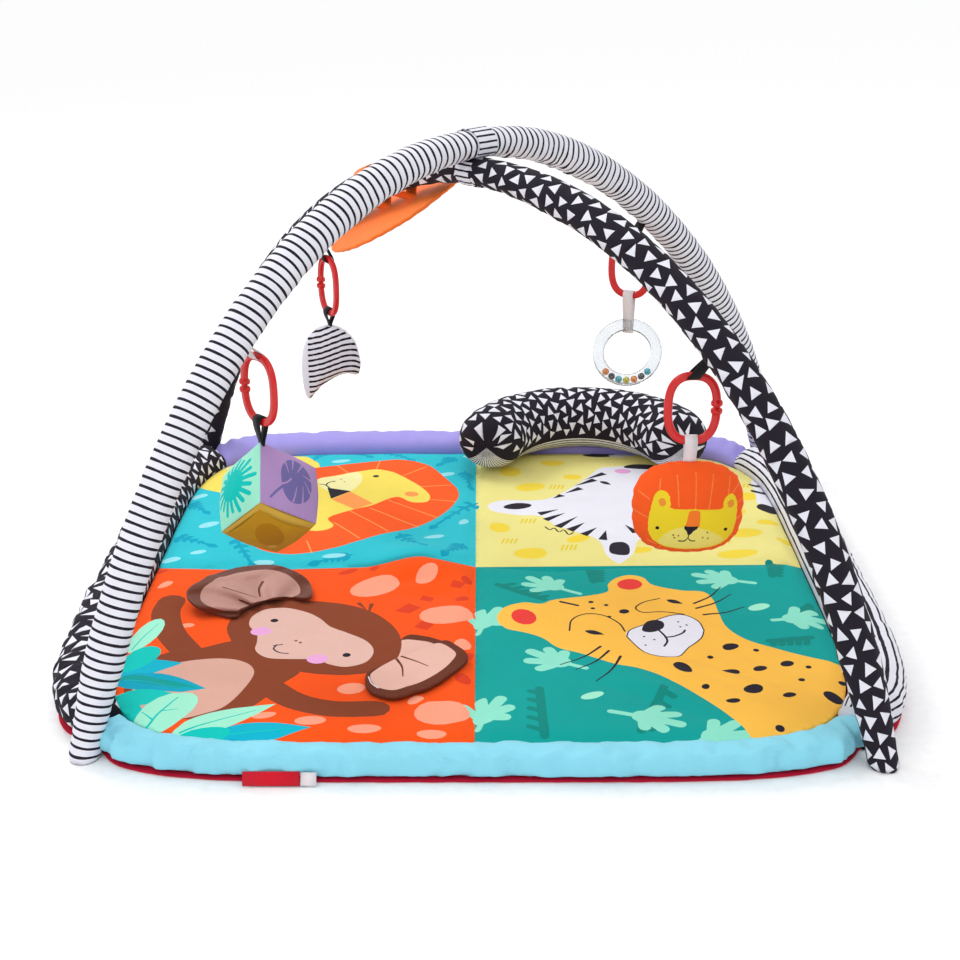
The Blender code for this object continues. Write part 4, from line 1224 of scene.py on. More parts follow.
def crossing_strap(name, route, start_degrees, end_degrees, body, crumple):
    """The striped strap that ties the arches together, wrapped round one of them."""
    arch = Arch(route)
    centre, tangent, side, up = arch.at(arch.crossing)
    wide, high = arch.radius(centre, arch.crossing)
    along = tangent.to_2d().normalized().to_3d()
    side, up = along.cross(Vector((0, 0, 1))), Vector((0, 0, 1))
    length = math.radians(end_degrees - start_degrees) * (wide + high) / 2.0
    half = 0.0140

    def place(u, v):
        turn = math.radians(start_degrees) + math.radians(end_degrees - start_degrees) * u / length
        fold = crumple * noise.noise(Vector((u * 60.0, v * 220.0, 4.0)))
        waist = 1.0 - 0.35 * (crumple / 0.0012) * bell(u - length / 2.0, length) * abs(math.cos(turn))
        out = side * math.cos(turn) * (wide + 0.0011 + fold) + up * math.sin(turn) * (high + 0.0014 + fold)
        return centre + out + along * v * waist

    shapes = stripe_print(0.0, length, -half, half, True, waver(0.0009, 60.0), period=0.0066, width=0.0022)
    cloth = cut(rectangle(0.0, length, -half, half, 0.002), shapes, WHITE, 0.0022, place)
    band = sew(f"{name}_cloth", [cloth], STUFFED)
    thicken = band.modifiers.new("two_layers", "SOLIDIFY")
    thicken.thickness = 0.0009
    thicken.offset = 0.0
    place_piece(band, body, [name], "stripe_fabric")


def arches():
    skewed = striped_waver(Arch(STRIPED_ROUTE).length)
    sleeve("striped_arch", STRIPED_ROUTE, lambda *b: stripe_print(*b, False, skewed), WHITE,
           striped_gathers, "stripe_fabric", "striped_arch")
    sleeve("triangle_arch", TRIANGLE_ROUTE, lambda *b: triangle_print(*b, 11), NIGHT,
           triangle_gathers, "triangle_fabric", "triangle_arch")
    crossing_strap("crossing_strap_top", STRIPED_ROUTE, -42.0, 222.0, "striped_arch", 0.0003)
    crossing_strap("crossing_strap_under", TRIANGLE_ROUTE, 138.0, 402.0, "triangle_arch", 0.0012)


# ---- links and ribbons ----


def link(name, top, turn_angle):
    """An open plastic oval: a wire with a groove on both faces, and two snap balls on one side."""
    normal = Vector((-math.sin(turn_angle), math.cos(turn_angle), 0.0))
    across = Vector((math.cos(turn_angle), math.sin(turn_angle), 0.0))
    centre = Vector(top) - Vector((0.0, 0.0, LINK_HEIGHT / 2.0))
    half_x, half_z = LINK_WIDTH / 2.0 - LINK_WIRE, LINK_HEIGHT / 2.0 - LINK_WIRE

    def centreline(angle):
        flat = superellipse(half_x, half_z, LINK_POWER, angle)
        return centre + across * flat.x + Vector((0.0, 0.0, flat.y))

    far_side = math.pi if name in ("cube", "leaf") else 0.0
    rings = []
    for i in range(160):
        angle = math.tau * i / 160
        point = centreline(angle)
        ahead = (centreline(angle + 0.01) - centreline(angle - 0.01)).normalized()
        outward = ahead.cross(normal)
        angle -= far_side
        offsets = [abs((angle - at + math.pi) % math.tau - math.pi) for at in NUB_ANGLES]
        ball = max(math.sqrt(max(1.0 - (off / 0.135) ** 2, 0.0)) for off in offsets)
        neck = bell((angle - sum(NUB_ANGLES) / 2.0 + math.pi) % math.tau - math.pi, 0.045)
        radius = LINK_WIRE * (1.0 - 0.30 * neck) + 0.0016 * ball * (1.0 - neck)
        ring = []
        for k in range(20):
            turn = math.tau * k / 20
            groove = 0.00085 * bell(abs(math.sin(turn)) - 1.0, 0.16) * (1.0 - ball)
            size = radius - groove
            ring.append(point + outward * size * math.cos(turn) + normal * size * 0.92 * math.sin(turn))
        rings.append(ring)
    wire = loft_piece(f"{name}_link_wire", rings, RED_GLOSS, RED_PLASTIC, closed=True)
    place_piece(wire, f"{name}_link", [f"{name}_link"], "red_plastic")


def ribbon(name, node, bar, turn_angle, reach, look, body, narrow, rise=Vector((0.0, 0.0, 1.0))):
    """A folded ribbon: up one side, round the bar and back down the other."""
    spread = 0.0006
    material, colour, slot = look
    across = Vector((math.cos(turn_angle), math.sin(turn_angle), 0.0))
    normal = Vector((-math.sin(turn_angle), math.cos(turn_angle), 0.0))
    way = math.copysign(1.0, reach)
    bore = LINK_WIRE + 0.0012
    profile = []
    for k in range(9):
        t = k / 8.0
        profile.append((spread + (bore - spread) * t * t * (3.0 - 2.0 * t), reach * (1.0 - t)))
    angles = [math.pi * k / 14.0 for k in range(1, 14)]
    around = [(bore * math.cos(a), -way * bore * math.sin(a)) for a in angles]
    line = profile + around + [(-x, z) for x, z in profile[::-1]]
    points = [Vector(bar) + normal * x + rise * z for x, z in line]
    rings = []
    for i, point in enumerate(points):
        along = (points[min(i + 1, len(points) - 1)] - points[max(i - 1, 0)]).normalized()
        face = along.cross(across).normalized() * 0.0004
        share = min(i, len(points) - 1 - i) / (len(points) / 2.0)
        half = across * RIBBON_HALF * (narrow + (1.0 - narrow) * min(share * 1.6, 1.0))
        rings.append(band_section(point, half, face))
    tape = loft_piece(name, rings, material, colour)
    line_length(points)
    place_piece(tape, body, [node], slot)


def hanging_set(name, arch_body, loop, strap, toy_top, narrow):
    """The loop that hangs on the arch, its link, and the ribbon that the toy hangs on."""
    top, turn_angle = HANGS[name]
    looks = {"black": (BLACK_WEBBING, INK, "black_ribbon"), "white": (WHITE_WEBBING, WHITE, "white_ribbon")}
    upper = Vector(top) - Vector((0.0, 0.0, LINK_WIRE))
    lower = Vector(top) - Vector((0.0, 0.0, LINK_HEIGHT - LINK_WIRE))
    route = STRIPED_ROUTE if arch_body == "striped_arch" else TRIANGLE_ROUTE
    way = min((point - upper for point in route), key=lambda offset: offset.length)
    link(name, top, turn_angle)
    ribbon(f"{name}_hanging_loop", f"{name}_loop", upper, turn_angle, way.length - 0.6 * SLEEVE_RADIUS,
           looks[loop], arch_body, 0.9, rise=way.normalized())
    ribbon(f"{name}_toy_ribbon", f"{name}_ribbon", lower, turn_angle, toy_top - lower.z, looks[strap],
           f"{name}_toy", narrow)


# ---- the toys ----


def radial_reach(outline, heart):
    """A function that says how far an outline is from its heart in any direction."""
    spokes = sorted((math.atan2((p - heart).y, (p - heart).x), (p - heart).length) for p in outline)
    spokes = [(spokes[-1][0] - math.tau, spokes[-1][1])] + spokes + [(spokes[0][0] + math.tau, spokes[0][1])]
    angles = [angle for angle, _ in spokes]

    def reach(point):
        way = point - heart
        angle = math.atan2(way.y, way.x)
        i = min(max(bisect.bisect_right(angles, angle) - 1, 0), len(spokes) - 2)
        share = (angle - angles[i]) / max(angles[i + 1] - angles[i], 1e-9)
        return way.length / (spokes[i][1] + (spokes[i + 1][1] - spokes[i][1]) * share)

    return reach


def puffed(outline, heart, depth, lay, side, gather, edge_depth=0.0):
    """Lays one face of a stuffed flat toy: crowned in the middle, puckered at its seam."""
    reach = radial_reach(outline, heart)

    def place(u, v):
        share = min(reach(Vector((u, v))), 1.0)
        rise = depth / 2.0 * max(1.0 - share**2.4, 0.0) ** 0.62
        angle = math.atan2(v - heart.y, u - heart.x)
        wave = math.sin(angle * 46.0 + 3.0 * math.sin(angle * 5.0))
        rise += gather * wave * bell(share - 0.93, 0.06) * (1.0 - share) * 14.0
        return lay(u, v, side * (rise + edge_depth))

    return place


def lion_face():
    """The toy lion's face, in millimetres from the middle of its head."""
    shapes = []
    rays = ((-29, 34, -30, 20), (-13, 38, -11, 9), (5, 40, 5, 4), (22, 38, 18, 6), (39, 35, 37, 19),
            (-49, 20, -39, 14), (-54, 0, -40, -5), (56, 12, 46, 8), (56, -6, 45, -8), (-39, -31, -31, -34),
            (4, -38, 5, -47), (34, -37, 39, -44), (41, -26, 51, -31), (-26, -37, -29, -43),
            (23, -40, 25, -45), (48, 26, 42, 20))
    shapes += [brush(TOY_RAY, 0.45, (x, y), (far_x, far_y)) for x, y, far_x, far_y in rays]
    shapes += [
        blob(
            GOLD, (-37, 8), (-35, 18), (-31, 23), (-26, 24), (-21, 20), (-19, 11), (-18, 7), (0, 6),
            (18, 5.5), (31, 5.5), (33, 14), (38, 19), (43, 18), (46.5, 11), (47, 0), (46, -14), (41, -27),
            (30, -36), (8, -40), (-14, -39), (-28, -34), (-37, -25), (-39.5, -14), (-39, -2),
        ),
        blob(
            MUZZLE, (-29, -32), (-24, -22), (-14, -15), (0, -13), (14, -15), (26, -21), (35, -29),
            (28, -35), (8, -39), (-12, -38),
        ),
        spot(EAR_ORANGE, -27, 12.5, 3.4, 4.4),
        spot(EAR_ORANGE, 40, 9.5, 3.4, 4.2),
        facet(NOSE_ORANGE, (-1, 5), (10, 5), (10, -13), (-4, -13)),
        blob(INK, (-5, -12.6), (2, -12.2), (9, -12.6), (5, -17), (0, -22), (-3, -17)),
        brush(INK, 0.45, (0, -21), (-0.6, -25), (-4, -29), (-9.5, -29)),
        brush(INK, 0.45, (-0.6, -25), (2, -28.5), (6, -29)),
        spot(INK, -31, -15, 1.8),
        spot(INK, 36, -17, 1.8),
    ]
    freckles = ((-15, -22), (-10, -22.5), (-14, -25), (18, -19), (14, -25), (19, -26))
    shapes += [spot(BROWN, x, y, 0.65) for x, y in freckles]
    return shapes


def lion_toy():
    low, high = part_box("lion_head")
    middle = (low + high) / 2.0
    half_x, half_z = (high.x - low.x) / 2.0, (high.z - low.z) / 2.0
    outline = []
    for i in range(120):
        angle = math.tau * i / 120
        rough = noise.noise(Vector((math.cos(angle) * 6, math.sin(angle) * 6, 0)))
        frill = 1.0 + 0.008 * math.sin(angle * 23.0) + 0.006 * rough
        outline.append(superellipse(half_x, half_z, 2.7, angle) * frill)

    def lay(u, v, rise):
        return Vector((middle.x + u, middle.y + rise, middle.z + v))

    depth = (high.y - low.y) * 0.92
    heart = Vector((0.0, 0.0))
    front = cut(outline, lion_face(), MANE, 0.0035, puffed(outline, heart, depth, lay, -1.0, 0.0007))
    back = cut(outline, [], MANE, 0.0035, puffed(outline, heart, depth, lay, 1.0, 0.0007))
    head = sew("lion_cushion", [front, back], STUFFED)
    inflate(head, 3.0, 0.0035)
    subdivide(head)
    place_piece(head, "lion_toy", ["lion_head"], "lion_orange")
    hanging_set("lion", "triangle_arch", "black", "white", high.z - 0.001, 1.0)


def sunburst():
    """A printed burst of rounded rays round a disc."""
    middle = CUBE_SIDE * 483.0
    shapes = [spot(TEAL, middle, middle, 17, 17, sides=28)]
    for k in range(18):
        c, s = math.cos(math.tau * k / 18), math.sin(math.tau * k / 18)
        far = 30 if k % 2 else 26.5
        tips = [(middle + reach * c, middle + reach * s) for reach in (15, 0.8 * far, far)]
        shapes.append(brush(TEAL, 2.4, *tips))
    return shapes


def split_leaf(colour, ground):
    """A broad leaf with slits between its fingers, its stem towards the lower corner."""
    shapes = [
        blob(colour, (22, 24), (15, 34), (16, 47), (24, 58), (38, 62), (52, 58), (60, 46), (58, 32), (48, 22),
             (36, 20)),
        brush(colour, 1.3, (33, 30), (22, 18), (14, 11)),
        brush(ground, 0.9, (28, 20), (31, 27), (36, 32)),
    ]
    for x, y, far_x, far_y in ((16, 38, 30, 40), (18, 50, 33, 48), (30, 60, 39, 50), (44, 61, 45, 48),
                               (58, 50, 46, 41), (60, 38, 46, 34), (54, 26, 42, 29)):
        shapes.append(brush(ground, 1.2, (x, y), (far_x, far_y), taper=0.3))

    def on_face(p):
        """Mirrors the drawing, makes it broader and lower, and moves it to the middle of its face."""
        return Vector((CUBE_SIDE - p.x * 1.12 + 0.003, p.y * 0.92 + 0.001))

    return [([on_face(p) for p in shape], dye) for shape, dye in shapes]


def cube_toy():
    """A soft cube hung by one corner. Each face is cut with a slight crown and sewn to its neighbours."""
    low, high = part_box("cube_body")
    fall, spread = -math.sqrt(1.0 / 3.0), math.sqrt(2.0 / 3.0)
    headings = [CUBE_FACING + CUBE_SETTLE + math.tau * k / 3.0 for k in range(3)]
    turn = Matrix([Vector((spread * math.cos(a), spread * math.sin(a), fall)) for a in headings]).transposed()
    turn = Matrix.Rotation(-CUBE_ROLL, 3, "Y") @ turn
    middle = (low + high) / 2.0
    side = CUBE_SIDE * 0.965
    half = side / 2.0
    mint_face = (MINT, sunburst())
    lilac_face = (LILAC_COTTON, split_leaf(LEAF_BLUE, LILAC_COTTON))
    mustard_face = (MUSTARD, [
        facet(PALE_MUSTARD, (0.8, 0.8), (70, 0.8), (70, 9), (0.8, 9)),
        facet(PALE_MUSTARD, (0.8, 9), (6, 9), (6, 70), (0.8, 70)),
        spot(DARK_MUSTARD, 36, 34, 22, 14, 40),
        spot(PALE_MUSTARD, 52, 52, 5, 5),
    ])
    looks = {(0, 1.0): mustard_face, (1, -1.0): mint_face, (2, -1.0): lilac_face,
             (0, -1.0): lilac_face, (1, 1.0): mustard_face, (2, 1.0): mint_face}
    faces = []
    for axis in range(3):
        first, second = (axis + 1) % 3, (axis + 2) % 3
        for end in (-1.0, 1.0):
            ground, shapes = looks[axis, end]

            def place(u, v, axis=axis, first=first, second=second, end=end):
                a, b = u / half - 1.0, v / half - 1.0
                crown = 0.0088 * (1.0 - a * a) * (1.0 - b * b)
                wave = 0.0007 * noise.noise(Vector((u * 70.0, v * 70.0, axis + end)))
                corner = [0.0, 0.0, 0.0]
                pull = 0.022 * (a**6 * (1.0 - b * b) + b**6 * (1.0 - a * a))
                corner[axis] = end * (half * (1.0 - pull) + crown + wave * (1.0 - a * a) * (1.0 - b * b))
                corner[first] = a * half * (1.0 - 0.022 * (1.0 - b * b))
                corner[second] = b * half * (1.0 - 0.022 * (1.0 - a * a))
                top_corner = all(c < 0.0 for c in corner)
                near = 0.0 if top_corner else abs(corner[0] * corner[1] * corner[2]) / half**3
                return middle + turn @ (Vector(corner) * (1.0 - 0.075 * near**1.5))

            faces.append(cut(rectangle(0.0, side, 0.0, side, 0.0035), shapes, ground, 0.0035, place))
    cube = sew("soft_cube", faces, STUFFED, weld=2e-4)
    place_piece(cube, "cube_toy", ["cube_body"], "cube_mint")
    hanging_set("cube", "striped_arch", "white", "black", high.z - 0.003, 0.45)


def leaf_toy():
    """A stuffed leaf: two striped faces and a narrow white gusset between them."""
    low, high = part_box("leaf_body")
    middle = (low + high) / 2.0
    outline = smooth_loop(mm([
        (34, 11), (29, 27), (17, 40), (0, 46), (-18, 41), (-30, 27), (-35, 8), (-36, -14), (-34, -34),
        (-29, -46), (-20, -38), (-9, -28), (6, -19), (20, -14), (33, -14), (36, -2),
    ]), 8)

    def lay(u, v, rise):
        return Vector((middle.x + u, middle.y + rise, middle.z + v))

    shapes = []
    for k in range(14):
        level = -45 + 6.7 * k
        rises = ((-26, -4), (-10, 0), (6, 6), (20, 10), (30, 9), (42, 2))
        line = [(x, level + rise) for x, rise in rises]
        shapes.append(brush(INK, 1.25, *line))
    heart = Vector((0.0, 0.006))
    depth, gusset = (high.y - low.y) * 0.62, (high.y - low.y) * 0.14
    front = cut(outline, shapes, WHITE, 0.0032, puffed(outline, heart, depth, lay, -1.0, 0.0004, gusset))
    back = cut(outline, shapes, WHITE, 0.0032, puffed(outline, heart, depth, lay, 1.0, 0.0004, gusset))
    closed = outline + outline[:1]
    reach = [0.0]
    for a, b in zip(closed, closed[1:]):
        reach.append(reach[-1] + (b - a).length)

    def wall(u, v):
        i = min(bisect.bisect_right(reach, u) - 1, len(outline) - 1)
        edge = closed[i].lerp(closed[i + 1], (u - reach[i]) / (reach[i + 1] - reach[i]))
        return lay(edge.x, edge.y, v)

    band = [Vector((u, -gusset)) for u in reach] + [Vector((u, gusset)) for u in reach[::-1]]
    sides = cut(band, [], WHITE, 0.0032, wall)
    body = sew("leaf_cushion", [front, back, sides], STUFFED, weld=4e-5)
    inflate(body, 2.5, 0.003)
    subdivide(body)
    place_piece(body, "leaf_toy", ["leaf_body"], "stripe_fabric")
    hanging_set("leaf", "triangle_arch", "black", "black", high.z - 0.001, 0.7)


def turned(name, centre, profile, material, colour, around=96):
    """Turns a closed profile of (radius, offset) round the Y axis through the centre."""
    rings = []
    for i in range(around):
        angle = math.tau * i / around
        outward = Vector((math.cos(angle), 0.0, math.sin(angle)))
        rings.append([centre + outward * r + Vector((0.0, y, 0.0)) for r, y in profile])
    return loft_piece(name, rings, material, colour, closed=True)


def ring_toy():
    """A clear hollow ring in two moulded halves, with loose beads inside."""
    low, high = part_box("ring_shell_front")
    top = HANGS["ring"][0]
    centre = Vector((top[0], top[1], (low.z + high.z) / 2.0))
    glass = clear_shell()
    for name, side in (("front", -1.0), ("back", 1.0)):
        outer = [(math.cos(a), math.sin(a)) for a in (math.pi * k / 12 for k in range(13))]
        profile = [(RING_RADIUS + RING_TUBE * c, side * (RING_TUBE * s + 0.0001)) for c, s in outer]
        bore = RING_TUBE - RING_WALL
        profile += [(RING_RADIUS + bore * c, side * (bore * s + 0.0001)) for c, s in outer[::-1]]
        shell = turned(f"rattle_ring_{name}", centre, profile, glass, WHITE)
        place_piece(shell, "ring_toy", [f"ring_shell_{name}"], "clear_plastic")
    colours = (srgb(255, 148, 44), INK, srgb(70, 190, 206), srgb(222, 212, 60))
    looks = [moulded(f"bead_look_{i + 1}", colour, 0.25, coat=0.4) for i, colour in enumerate(colours)]
    for i in range(7):
        low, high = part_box(f"ring_bead_{i + 1}")
        middle, radius = (low + high) / 2.0, (high.z - low.z) / 2.0
        hole = 0.0011
        start = math.asin(hole / radius)
        arc = [start + (math.pi - 2.0 * start) * k / 12 for k in range(13)]
        profile = [(radius * math.sin(a), -radius * math.cos(a)) for a in arc]
        bead = turned(f"bead_{i + 1}", middle, profile, looks[i % 4], colours[i % 4], around=20)
        place_piece(bead, "ring_beads", [f"ring_bead_{i + 1}"], f"bead_{i % 4 + 1}")
    hanging_set("ring", "striped_arch", "black", "white", 0.2478, 1.0)


# ---- the mirror ----


def cad_place(route, station):
    """A place on the arch, by its station on the coarser route that part.py follows."""
    fine = station * FINE_SPANS / CAD_SPANS
    index = int(fine)
    return route[index].lerp(route[index + 1], fine - index)


def mirror_disc(name, centre, directions, profile, material, colour, slot, node):
    """Turns a profile of (radius, height) round the disc's normal. It sags and ripples towards its rim."""
    along, roll, normal = directions
    sag = 0.0016
    rings = []
    for radius, height in profile:
        ring = []
        for i in range(144):
            angle = math.tau * i / 144
            c, s = math.cos(angle), math.sin(angle)
            share = radius / MIRROR_RADIUS
            ripple = sag * share**3 * noise.noise(Vector((c * 2.2, s * 2.2, 0.0)))
            ripple -= sag * share**2 * max(s, 0.0) * 0.6
            ripple += 0.0004 * share**6 * math.sin(angle * 38.0 + 2.0 * math.sin(angle * 7.0))
            ring.append(centre + (along * c + roll * s) * radius + normal * (height + ripple))
        rings.append(ring)
    disc = loft_piece(name, rings, material, colour)
    place_piece(disc, "mirror", [node], slot)
    return disc


def mirror():
    place = cad_place(TRIANGLE_ROUTE, MIRROR_STATION)
    coarse = arch_route(TRIANGLE_FEET, TRIANGLE_TOP, TRIANGLE_HALVES, CAD_SPANS)
    index = int(MIRROR_STATION)
    along = (coarse[index] - coarse[index + 1]).normalized()
    across = Vector((along.y, -along.x, 0.0)).normalized()
    level_normal = across.cross(along)
    roll = across * math.cos(MIRROR_ROLL) - level_normal * math.sin(MIRROR_ROLL)
    normal = level_normal * math.cos(MIRROR_ROLL) + across * math.sin(MIRROR_ROLL)
    directions = (along, roll, normal)
    centre = place - normal * MIRROR_DROP
    half = MIRROR_THICK / 2.0
    satin_orange = srgb(255, 124, 44)
    rim = MIRROR_RADIUS
    pad = [
        (0.004, half + 0.0022), (0.04, half + 0.0018), (0.07, half + 0.0012), (0.083, half),
        (0.0865, half - 0.0012), (0.0885, half - 0.0002), (rim - 0.0012, half - 0.0002), (rim, 0.0006),
        (rim - 0.0008, -0.0012), (rim - 0.003, -half), (0.0865, -half + 0.0004), (0.0845, -half),
        (FILM_RADIUS + 0.0006, -half + 0.0006), (0.004, -half + 0.0006),
    ]
    satin = fabric("orange_satin_look", rough=0.5, sheen=0.05, pitch=0.0006, wrinkle=0.0010, weave=0.00003)
    cover = mirror_disc("mirror_pad", centre, directions, pad, satin, satin_orange, "orange_fabric",
                        "mirror_backing")
    film = [
        (0.003, -half - 0.0006), (0.05, -half - 0.0006), (FILM_RADIUS - 0.002, -half - 0.0005),
        (FILM_RADIUS, -half - 0.0008), (FILM_RADIUS - 0.0006, -half - 0.0014), (0.05, -half - 0.0012),
        (0.003, -half - 0.0012),
    ]
    mirror_disc("mirror_sheet", centre, directions, film, mirror_face(), WHITE, "mirror_film", "mirror_film")
    for name, side in (("low", 1.0), ("high", -1.0)):
        above = cad_place(TRIANGLE_ROUTE, MIRROR_STATION + side * MIRROR_LOOP_SPREAD)
        reach = (above - centre).dot(normal) - half - 0.0008
        bore = SLEEVE_RADIUS + 0.0026
        line = [above + roll * 0.0010 - normal * (reach - (reach - bore * 1.3) * k / 4.0) for k in range(4)]
        for k in range(29):
            angle = math.radians(-62.0 + (360.0 - 56.0) * k / 28.0)
            line.append(above + roll * math.cos(angle) * bore + normal * math.sin(angle) * bore)
        far = [bore * 1.3 + (reach - bore * 1.3) * k / 4.0 for k in range(1, 5)]
        line += [above - roll * 0.0010 - normal * drop for drop in far]
        loop = strip_piece(f"mirror_strap_{name}", line, along, 0.009, 0.0010, satin, satin_orange)
        line_length(line)
        place_piece(loop, "mirror", [f"mirror_loop_{name}"], "orange_fabric")


# ---- the pillow and the ears ----


def pillow_place(top, girth):
    """Lays one half of the crescent: u goes across it and v along its arc."""
    reach = PILLOW_HALF_ANGLE + PILLOW_END

    def place(u, v):
        swing = v / PILLOW_ARC_RADIUS
        past = min(max(abs(swing) - PILLOW_HALF_ANGLE, 0.0) / PILLOW_END, 1.0)
        size = math.sqrt(max(1.0 - past * past, 0.0))
        share = u / girth
        seam = PILLOW_SEAM * (1.0 + 0.9 * (swing / reach) ** 2)
        turn = math.pi * share + seam * (2.0 * share - 1.0 if top else 1.0 - 2.0 * share)
        angle = math.pi / 2.0 - swing
        outward = Vector((math.cos(angle), math.sin(angle), 0.0))
        lean = math.cos(turn)
        rise = math.sin(turn) * (1.0 if top else -1.0)
        fade = max(math.sin(math.pi * share), 0.0) * min(3.0 * size, 1.0)
        pucker = noise.noise(Vector((v * 70.0, lean * 1.6, 1.0 if top else 4.0)))
        pucker += 0.6 * math.sin(v * 260.0 + 3.0 * math.sin(v * 40.0)) * bell(abs(lean) - 0.95, 0.16)
        pucker *= fade
        half_width = PILLOW_WIDTH / 2.0 * size + 0.0010 * pucker
        half_height = PILLOW_HEIGHT / 2.0 * size
        level = PILLOW_BOTTOM + PILLOW_HEIGHT * 0.46 + half_height * 1.04 * rise + 0.0009 * pucker * rise
        if not top:
            level = max(level, PILLOW_BOTTOM - 0.0035 + 0.0015 * pucker)
        flat = outward * (PILLOW_ARC_RADIUS + half_width * lean)
        return Vector((PILLOW_CENTRE[0] + flat.x, PILLOW_CENTRE[1] + flat.y, level))

    return place, reach * PILLOW_ARC_RADIUS


def pillow():
    """The crescent pillow: triangles on top and stripes below, sewn together under its middle."""
    half_girth = math.pi * (PILLOW_WIDTH + PILLOW_HEIGHT) / 4.0
    halves = []
    for top in (True, False):
        seam = PILLOW_SEAM if top else -PILLOW_SEAM
        girth = half_girth + seam * (PILLOW_WIDTH + PILLOW_HEIGHT) / 2.0
        place, run = pillow_place(top, girth)
        outline = rectangle(0.0, girth, -run, run, 0.0045)
        if top:
            ground = NIGHT
            shapes = triangle_print(0.0, girth, -run, run, 21, size=0.0074, spacing=0.0158)
        else:
            ground = WHITE
            shapes = stripe_print(0.0, girth, -run, run, True, waver(0.0010), period=0.0062, width=0.0019)
        halves.append(cut(outline, shapes, ground, 0.0045, place))
    cushion = sew("crescent_pillow", halves, STUFFED, weld=2e-4)
    inflate(cushion, 2.0, 0.003)
    place_piece(cushion, "pillow", ["tummy_pillow"], "triangle_fabric")


def ear_flap(name, outline, shapes, curl, folds, material):
    """A flap sewn down along its root. curl lifts its free edge, which draws it back, and folds gather it."""
    root, degrees, length = EARS[name]
    root = Vector(root)
    away = Matrix.Rotation(math.radians(degrees), 2) @ Vector((0.0, 1.0))

    def lay(thick):
        def place(u, v):
            way = Vector((u, v)) - root
            share = min(max(way.dot(away) / length, 0.0), 1.1)
            swing = math.atan2(way.x, way.y)
            lift = curl * share**1.5
            lift += folds * math.sin(swing * 9.0 + 1.0) * math.sin(math.pi * min(share, 1.0)) ** 0.7
            flat = Vector((u, v - 2.0 * max(lift, 0.0)))
            return Vector((*flat, relief(*flat) + 0.0022 + lift + (0.0022 + 0.0008 * share) * thick))

        return place

    upper = cut(outline, shapes, EAR_BROWN, 0.0030, lay(1.0))
    lower = cut(outline, [], EAR_BROWN, 0.0030, lay(0.0))
    flap = bridge_faces(name, upper, lower, outline, lay(1.0), lay(0.0), material)
    place_piece(flap, name, [name], "ear_satin")


def bridge_faces(name, upper, lower, outline, above, below, material):
    """Sews the two faces of a flap together with a narrow edge."""
    count = len(outline)
    edge = {
        "flat": [*outline, *outline],
        "places": [above(*p) for p in outline] + [below(*p) for p in outline],
        "faces": [[i, (i + 1) % count, count + (i + 1) % count, count + i] for i in range(count)],
        "colours": [EAR_BROWN] * count,
    }
    return sew(f"{name}_satin", [upper, lower, edge], material)


def ears():
    """One ear stands up in satin, the other lies flat in printed cotton. Both lie past their hinge lines."""
    satin = fabric("ear_satin_look", rough=0.32, sheen=0.1, pitch=0.0004, wrinkle=0.0016, weave=0.00002)
    raised = smooth_loop(mm([
        (-261, -149), (-281, -143), (-300, -129), (-316, -102), (-314, -78), (-298, -53), (-278, -30),
        (-256, -18), (-233, -16), (-213, -28), (-194, -53), (-185, -83), (-186, -103), (-212, -101),
        (-236, -112), (-253, -130),
    ]), 6)
    inner = [
        blob(EAR_SATIN, (-262, -140), (-282, -132), (-300, -112), (-301, -84), (-286, -58), (-264, -38),
             (-240, -30), (-220, -38), (-205, -60), (-198, -86), (-203, -100), (-222, -104), (-240, -114),
             (-254, -128)),
        brush(EAR_BROWN, 1.7, (-240, -62), (-243, -82), (-240, -101), taper=0.5),
        brush(EAR_BROWN, 0.9, (-280, -80), (-262, -92), (-243, -104), taper=0.5),
    ]
    ear_flap("ear_flap_left", raised, inner, 0.0125, 0.0030, satin)
    flat = smooth_loop(mm([
        (-86, -246), (-70, -231), (-52, -217), (-36, -206), (-24, -217), (-13, -233), (-15, -252),
        (-30, -280), (-50, -307), (-80, -326), (-101, -320), (-111, -303), (-112, -276), (-99, -260),
    ]), 6)
    inner = [
        blob(EAR_PALE, (-84, -244), (-68, -229), (-52, -217), (-40, -213), (-25, -232), (-28, -250),
             (-40, -274), (-58, -296), (-80, -312), (-96, -309), (-105, -297), (-108, -278), (-97, -259)),
        brush(EAR_BROWN, 1.5, (-80, -240), (-68, -248), (-52, -262), taper=0.4),
        brush(EAR_BROWN, 1.5, (-84, -246), (-78, -262), (-76, -284), taper=0.4),
        brush(WHITE, 0.6, (-110, -284), (-106, -298), (-99, -308)),
    ]
    ear_flap("ear_flap_right", flat, inner, 0.0015, 0.0003, PRINTED)


# ---- hidden parts that keep their CAD shape ----


def hidden_parts():
    grey, cream = srgb(120, 120, 126), srgb(236, 234, 228)
    foam = fabric("foam_look", rough=0.95, pitch=0.003, wrinkle=0.0010, weave=0.0002, colour=grey)
    wadding = fabric("wadding_look", rough=0.95, pitch=0.004, wrinkle=0.0020, weave=0.0002, colour=cream)
    rod = moulded("fibreglass_look", srgb(226, 222, 206), 0.4)
    cap = moulded("cap_look", srgb(34, 34, 36), 0.45)
    looks = {"mat_filling": wadding}
    for arch in ("striped_arch", "triangle_arch"):
        looks[f"{arch}_foam"] = foam
        looks[f"{arch}_rod"] = rod
        looks[f"{arch}_cap_front"] = cap
        looks[f"{arch}_cap_back"] = cap
    for name, look in looks.items():
        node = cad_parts[name]
        for slot in node.material_slots:
            slot.material = look


# ---- floor, light and camera ----


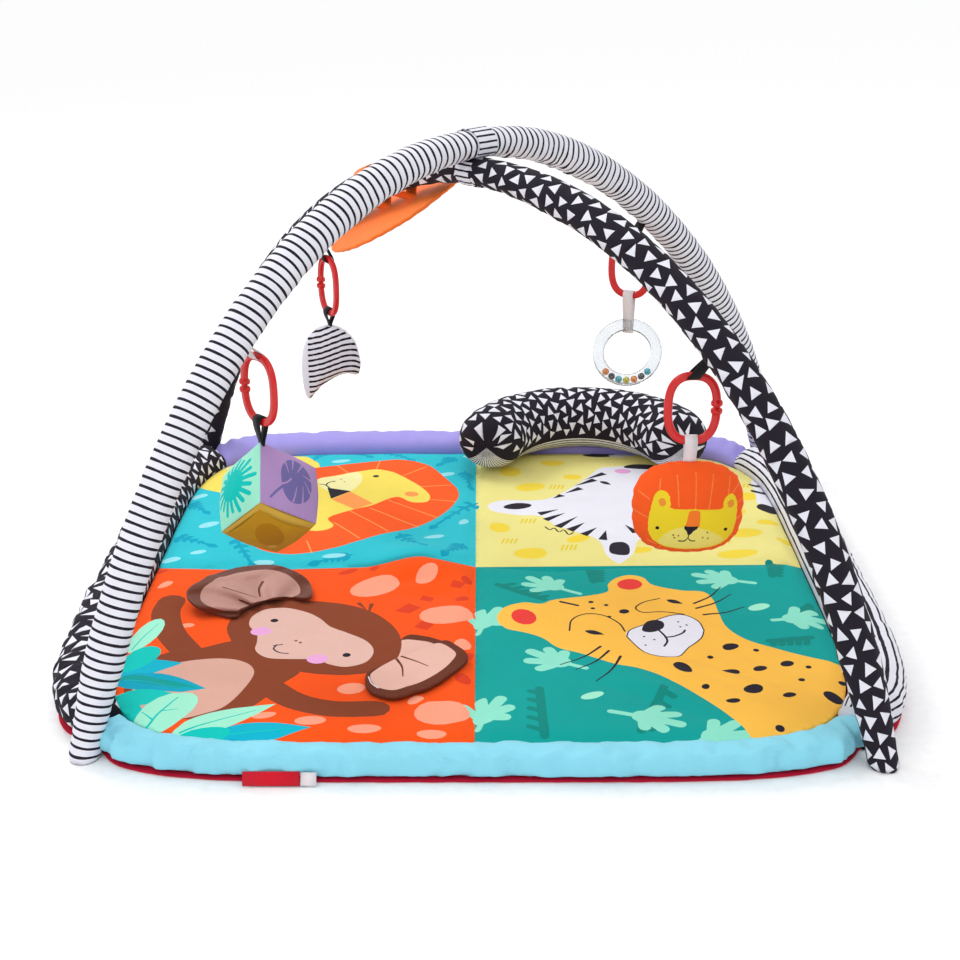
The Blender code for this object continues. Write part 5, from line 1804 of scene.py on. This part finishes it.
def floor():
    mesh = bpy.data.meshes.new("floor")
    size = 30.0
    corners = [(-size, -size, 0), (size, -size, 0), (size, size, 0), (-size, size, 0)]
    mesh.from_pydata(corners, [], [(0, 1, 2, 3)])
    ground = moulded("floor_look", srgb(252, 252, 253), 0.9, depth=0.00001)
    ground.node_tree.nodes["Principled BSDF"].inputs["Specular IOR Level"].default_value = 0.0
    obj = piece("floor", mesh, ground)
    obj.location.z = -0.0002


def area_light(name, place, target, size, power):
    light = bpy.data.lights.new(name, "AREA")
    light.shape = "DISK"
    light.size = size
    light.energy = power
    obj = bpy.data.objects.new(name, light)
    bpy.context.scene.collection.objects.link(obj)
    obj.location = place
    obj.rotation_euler = (Vector(target) - Vector(place)).to_track_quat("-Z", "Y").to_euler()


def studio():
    world = bpy.data.worlds.new("studio")
    world.use_nodes = True
    tree = world.node_tree
    height = tree.nodes.new("ShaderNodeSeparateXYZ")
    tree.links.new(tree.nodes.new("ShaderNodeTexCoord").outputs["Generated"], height.inputs["Vector"])
    glow = tree.nodes.new("ShaderNodeMapRange")
    glow.inputs["To Min"].default_value = 0.50
    glow.inputs["To Max"].default_value = 1.28
    tree.links.new(height.outputs["Z"], glow.inputs["Value"])
    tree.nodes["Background"].inputs["Color"].default_value = (1.0, 1.0, 1.0, 1.0)
    tree.links.new(glow.outputs["Result"], tree.nodes["Background"].inputs["Strength"])
    bpy.context.scene.world = world
    area_light("key", (-1.2, 1.0, 2.0), (0.0, 0.0, 0.05), 0.9, 17.0)
    area_light("front", (-0.7, -1.9, 1.2), (0.0, 0.0, 0.2), 0.8, 5.0)
    bpy.context.scene.view_settings.view_transform = "Standard"


def camera():
    data = bpy.data.cameras.new("camera")
    data.sensor_width = 36.0
    data.lens = 59.7
    obj = bpy.data.objects.new("camera", data)
    bpy.context.scene.collection.objects.link(obj)
    obj.location = (0.0, -1.676, 0.783)
    obj.rotation_euler = (math.radians(68.66), 0.0, 0.0)
    bpy.context.scene.camera = obj


camera()
studio()
floor()
mat_panel()
borders()
mat_backing()
edge_labels()
corner_tabs()
arches()
lion_toy()
cube_toy()
leaf_toy()
ring_toy()
mirror()
pillow()
ears()
hidden_parts()
